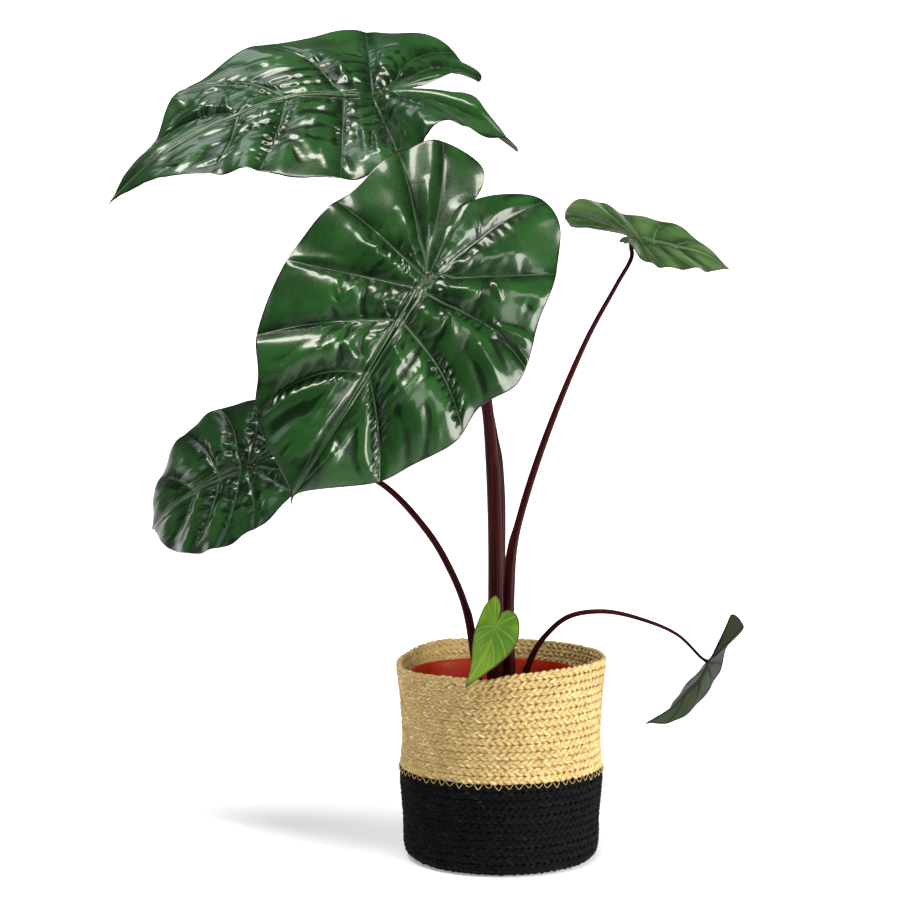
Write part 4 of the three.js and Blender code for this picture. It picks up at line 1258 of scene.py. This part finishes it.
# Low left leaf: a smaller dark blade that hangs behind the middle one on a thin arched
# stem, with a short pale midrib, partly its own tone and partly a painted highlight.
small_leaf = {
    "left_bends": [0, 0, 0.1, 0.2, 0.2, 0.15], "right_bends": [0, 0, 0.1, 0.2, 0.2, 0.15],
    "drip": 4, "crinkles": 0, "beads": [], "blisters": [], "folds": [],
}
low_left = {
    **small_leaf,
    "knee": (-230, 30, 348),
    "midrib": [(-260, 44, 336), (-286, 62, 321), (-309, 83, 304), (-328, 107, 286)],
    "left": [
        (-204, 18, 356), (-183, 1, 355), (-173, -17, 345), (-183, -24, 328), (-201, -23, 311),
        (-220, -18, 295), (-253, 0, 277), (-281, 29, 269), (-308, 68, 270),
    ],
    "right": [
        (-203, 21, 359), (-182, 20, 374), (-170, 28, 392), (-181, 45, 403), (-201, 59, 406),
        (-222, 71, 408), (-261, 88, 399), (-297, 101, 374), (-323, 111, 330),
    ],
    "forks": ((1, 0.2), (1, 0.2)), "arch": (2, 2), "quilt": 5, "wave": 2,
    "rib": 1.5, "groove": 0.7, "pucker": 1.4, "fold": 1, "pleat": 0.4, "crinkles": 50, "seed": 31,
    "beads": [(1, 4, 1, 0.1, 0.8, 7.0, 1.4), (1, 5, 1, 0.1, 0.8, 7.0, 1.4)],
}
petiole("low_left", low_left, {
    "path": [
        (-19, -6, 120), (-21, -6, 150), (-26, -6, 194), (-33, -4, 227), (-46, 0, 258),
        (-66, 6, 291), (-107, 17, 333), (-150, 28, 350), (-190, 42, 346), (-219, 47, 334),
    ],
    "radii": [(0, 3), (0.1, 4), (0.35, 3.2), (1, 1.9)],
    "sheath": (0.27, 1.1, 0),
}, stem_maroon)
blade("low_left", low_left, deep_green, 20, 60)

# Top right leaf: a small smooth blade held almost level on a long thin stem, mid green
# with greyer bands between its side veins and darker green along them, partly painted shade.
mid_green = leaf_skin(
    "leaf_mid_green", deep=(0.001, 0.016, 0.001), fresh=(0.058, 0.12, 0.032),
    vein=(0.10, 0.15, 0.06), margin=(0.05, 0.02, 0.015), back=(0.07, 0.09, 0.05),
    back_vein=(0.09, 0.05, 0.04), gloss=0.42, coat=0.12,
)
top_right = {
    **small_leaf,
    "knee": (121, 20, 554),
    "midrib": [(141, 45, 552), (164, 65, 549), (191, 85, 543), (215, 100, 531)],
    "left": [
        (108, 10, 561), (84, 2, 563), (61, -4, 564), (57, 10, 577), (68, 21, 589), (93, 68, 590),
        (122, 89, 580), (162, 106, 574), (193, 112, 554),
    ],
    "right": [
        (114, 8, 553), (106, -8, 553), (104, -22, 549), (109, -30, 548), (117, -32, 539),
        (127, -29, 531), (143, -21, 527), (169, 10, 527), (195, 58, 527),
    ],
    "forks": ((1, 0.15), (1, 0.15)), "arch": (5, 0), "quilt": 2.4, "wave": 1.2,
    "rib": 1.3, "groove": 0.5, "pucker": 0.5, "fold": 0.3, "pleat": 0.1, "seed": 43,
}
petiole("top_right", top_right, {
    "path": [
        (9, -8, 118), (8, -8, 150), (6, -7, 225), (10, -4, 275), (22, 0, 323), (46, 6, 392),
        (78, 13, 466), (104, 18, 513), (118, 22, 539),
    ],
    "radii": [(0, 4), (0.08, 5.4), (0.25, 5.6), (0.4, 3.4), (1, 1.9)],
    "sheath": (0.38, 1.5, math.pi),
}, stem_maroon)
blade("top_right", top_right, mid_green, 15, 50)

# Low right leaf: a small blade on a wiry arched stem, turned so that its dull grey-green
# back and dark midrib show.
grey_green = leaf_skin(
    "leaf_grey_green", deep=(0.006, 0.03, 0.005), fresh=(0.03, 0.09, 0.02),
    vein=(0.05, 0.09, 0.03), margin=(0.02, 0.006, 0.008), back=(0.045, 0.052, 0.042),
    back_vein=(0.012, 0.006, 0.008), gloss=0.42, coat=0.1,
)
low_right = {
    **small_leaf,
    "knee": (186, -10, 175),
    "midrib": [(178, -16, 162), (166, -22, 151), (151, -28, 138), (129, -34, 126)],
    "left": [
        (192, 2, 180), (200, 8, 188), (207, 18, 205), (205, 27, 194), (197, 30, 178),
        (185, 32, 165), (166, 21, 147), (153, 4, 133), (141, -14, 124),
    ],
    "right": [
        (191, -14, 183), (199, -22, 197), (203, -30, 221), (212, -42, 212), (197, -48, 197),
        (191, -53, 179), (181, -55, 160), (164, -52, 139), (146, -44, 127),
    ],
    "forks": ((1, 0.1), (1, 0.1)), "arch": (0, 0), "quilt": 1.2, "wave": 0.6,
    "rib": 0.9, "groove": 0.35, "pucker": 0.3, "fold": 0.2, "pleat": 0.1, "seed": 57,
}
petiole("low_right", low_right, {
    "path": [
        (16, 4, 122), (18, 2, 150), (28, -1, 180), (40, -4, 199), (60, -7, 216), (91, -9, 221),
        (124, -11, 214.5), (157, -12, 200.5),
    ],
    "radii": [(0, 2.6), (0.12, 3.2), (0.4, 2.3), (1, 1.3)],
    "sheath": (0.2, 0.8, 0),
}, stem_maroon)
blade("low_right", low_right, grey_green, 12, 40)

# Young leaf: the newest and smallest blade, bright yellow-green and satin, in front of
# the stems, with a thin purple-brown tip.
fresh_green = leaf_skin(
    "leaf_fresh_green", deep=(0.055, 0.16, 0.002), fresh=(0.21, 0.37, 0.012),
    vein=(0.27, 0.40, 0.05), margin=(0.07, 0.055, 0.01), back=(0.2, 0.3, 0.1),
    back_vein=(0.3, 0.34, 0.14), gloss=0.4, coat=0.25, tip=(-0.034, -0.103, 0.167),
)
young = {
    **small_leaf,
    "knee": (-7, -88, 219),
    "midrib": [(-11, -92, 207), (-18, -97, 193), (-25, -100, 181), (-31, -102, 171)],
    "left": [
        (-3, -86, 225), (-1, -85, 230), (4, -86, 232), (11, -91, 228), (13, -98, 217),
        (10, -103, 205), (1, -105, 194), (-10, -105, 185), (-21, -104, 177),
    ],
    "right": [
        (-4, -85, 227), (-3, -80, 237), (-7, -74, 243), (-14, -73, 237), (-20, -76, 226),
        (-25, -82, 213), (-27, -87, 201), (-28, -94, 188), (-30, -99, 178),
    ],
    "forks": ((1, 0.1), (1, 0.1)), "arch": (0, 0), "quilt": 0.6, "wave": 0.3,
    "rib": 0.7, "groove": 0.2, "pucker": 0.2, "fold": 0.05, "pleat": 0, "seed": 71,
}
petiole("young", young, {
    "path": [(5, -26, 122), (6, -29, 150), (6, -42, 176), (4, -58, 196)],
    "radii": [(0, 1.8), (0.3, 2.2), (1, 1.2)],
    "sheath": (0.3, 0.6, 0),
}, stem_maroon)
blade("young", young, fresh_green, 12, 40)
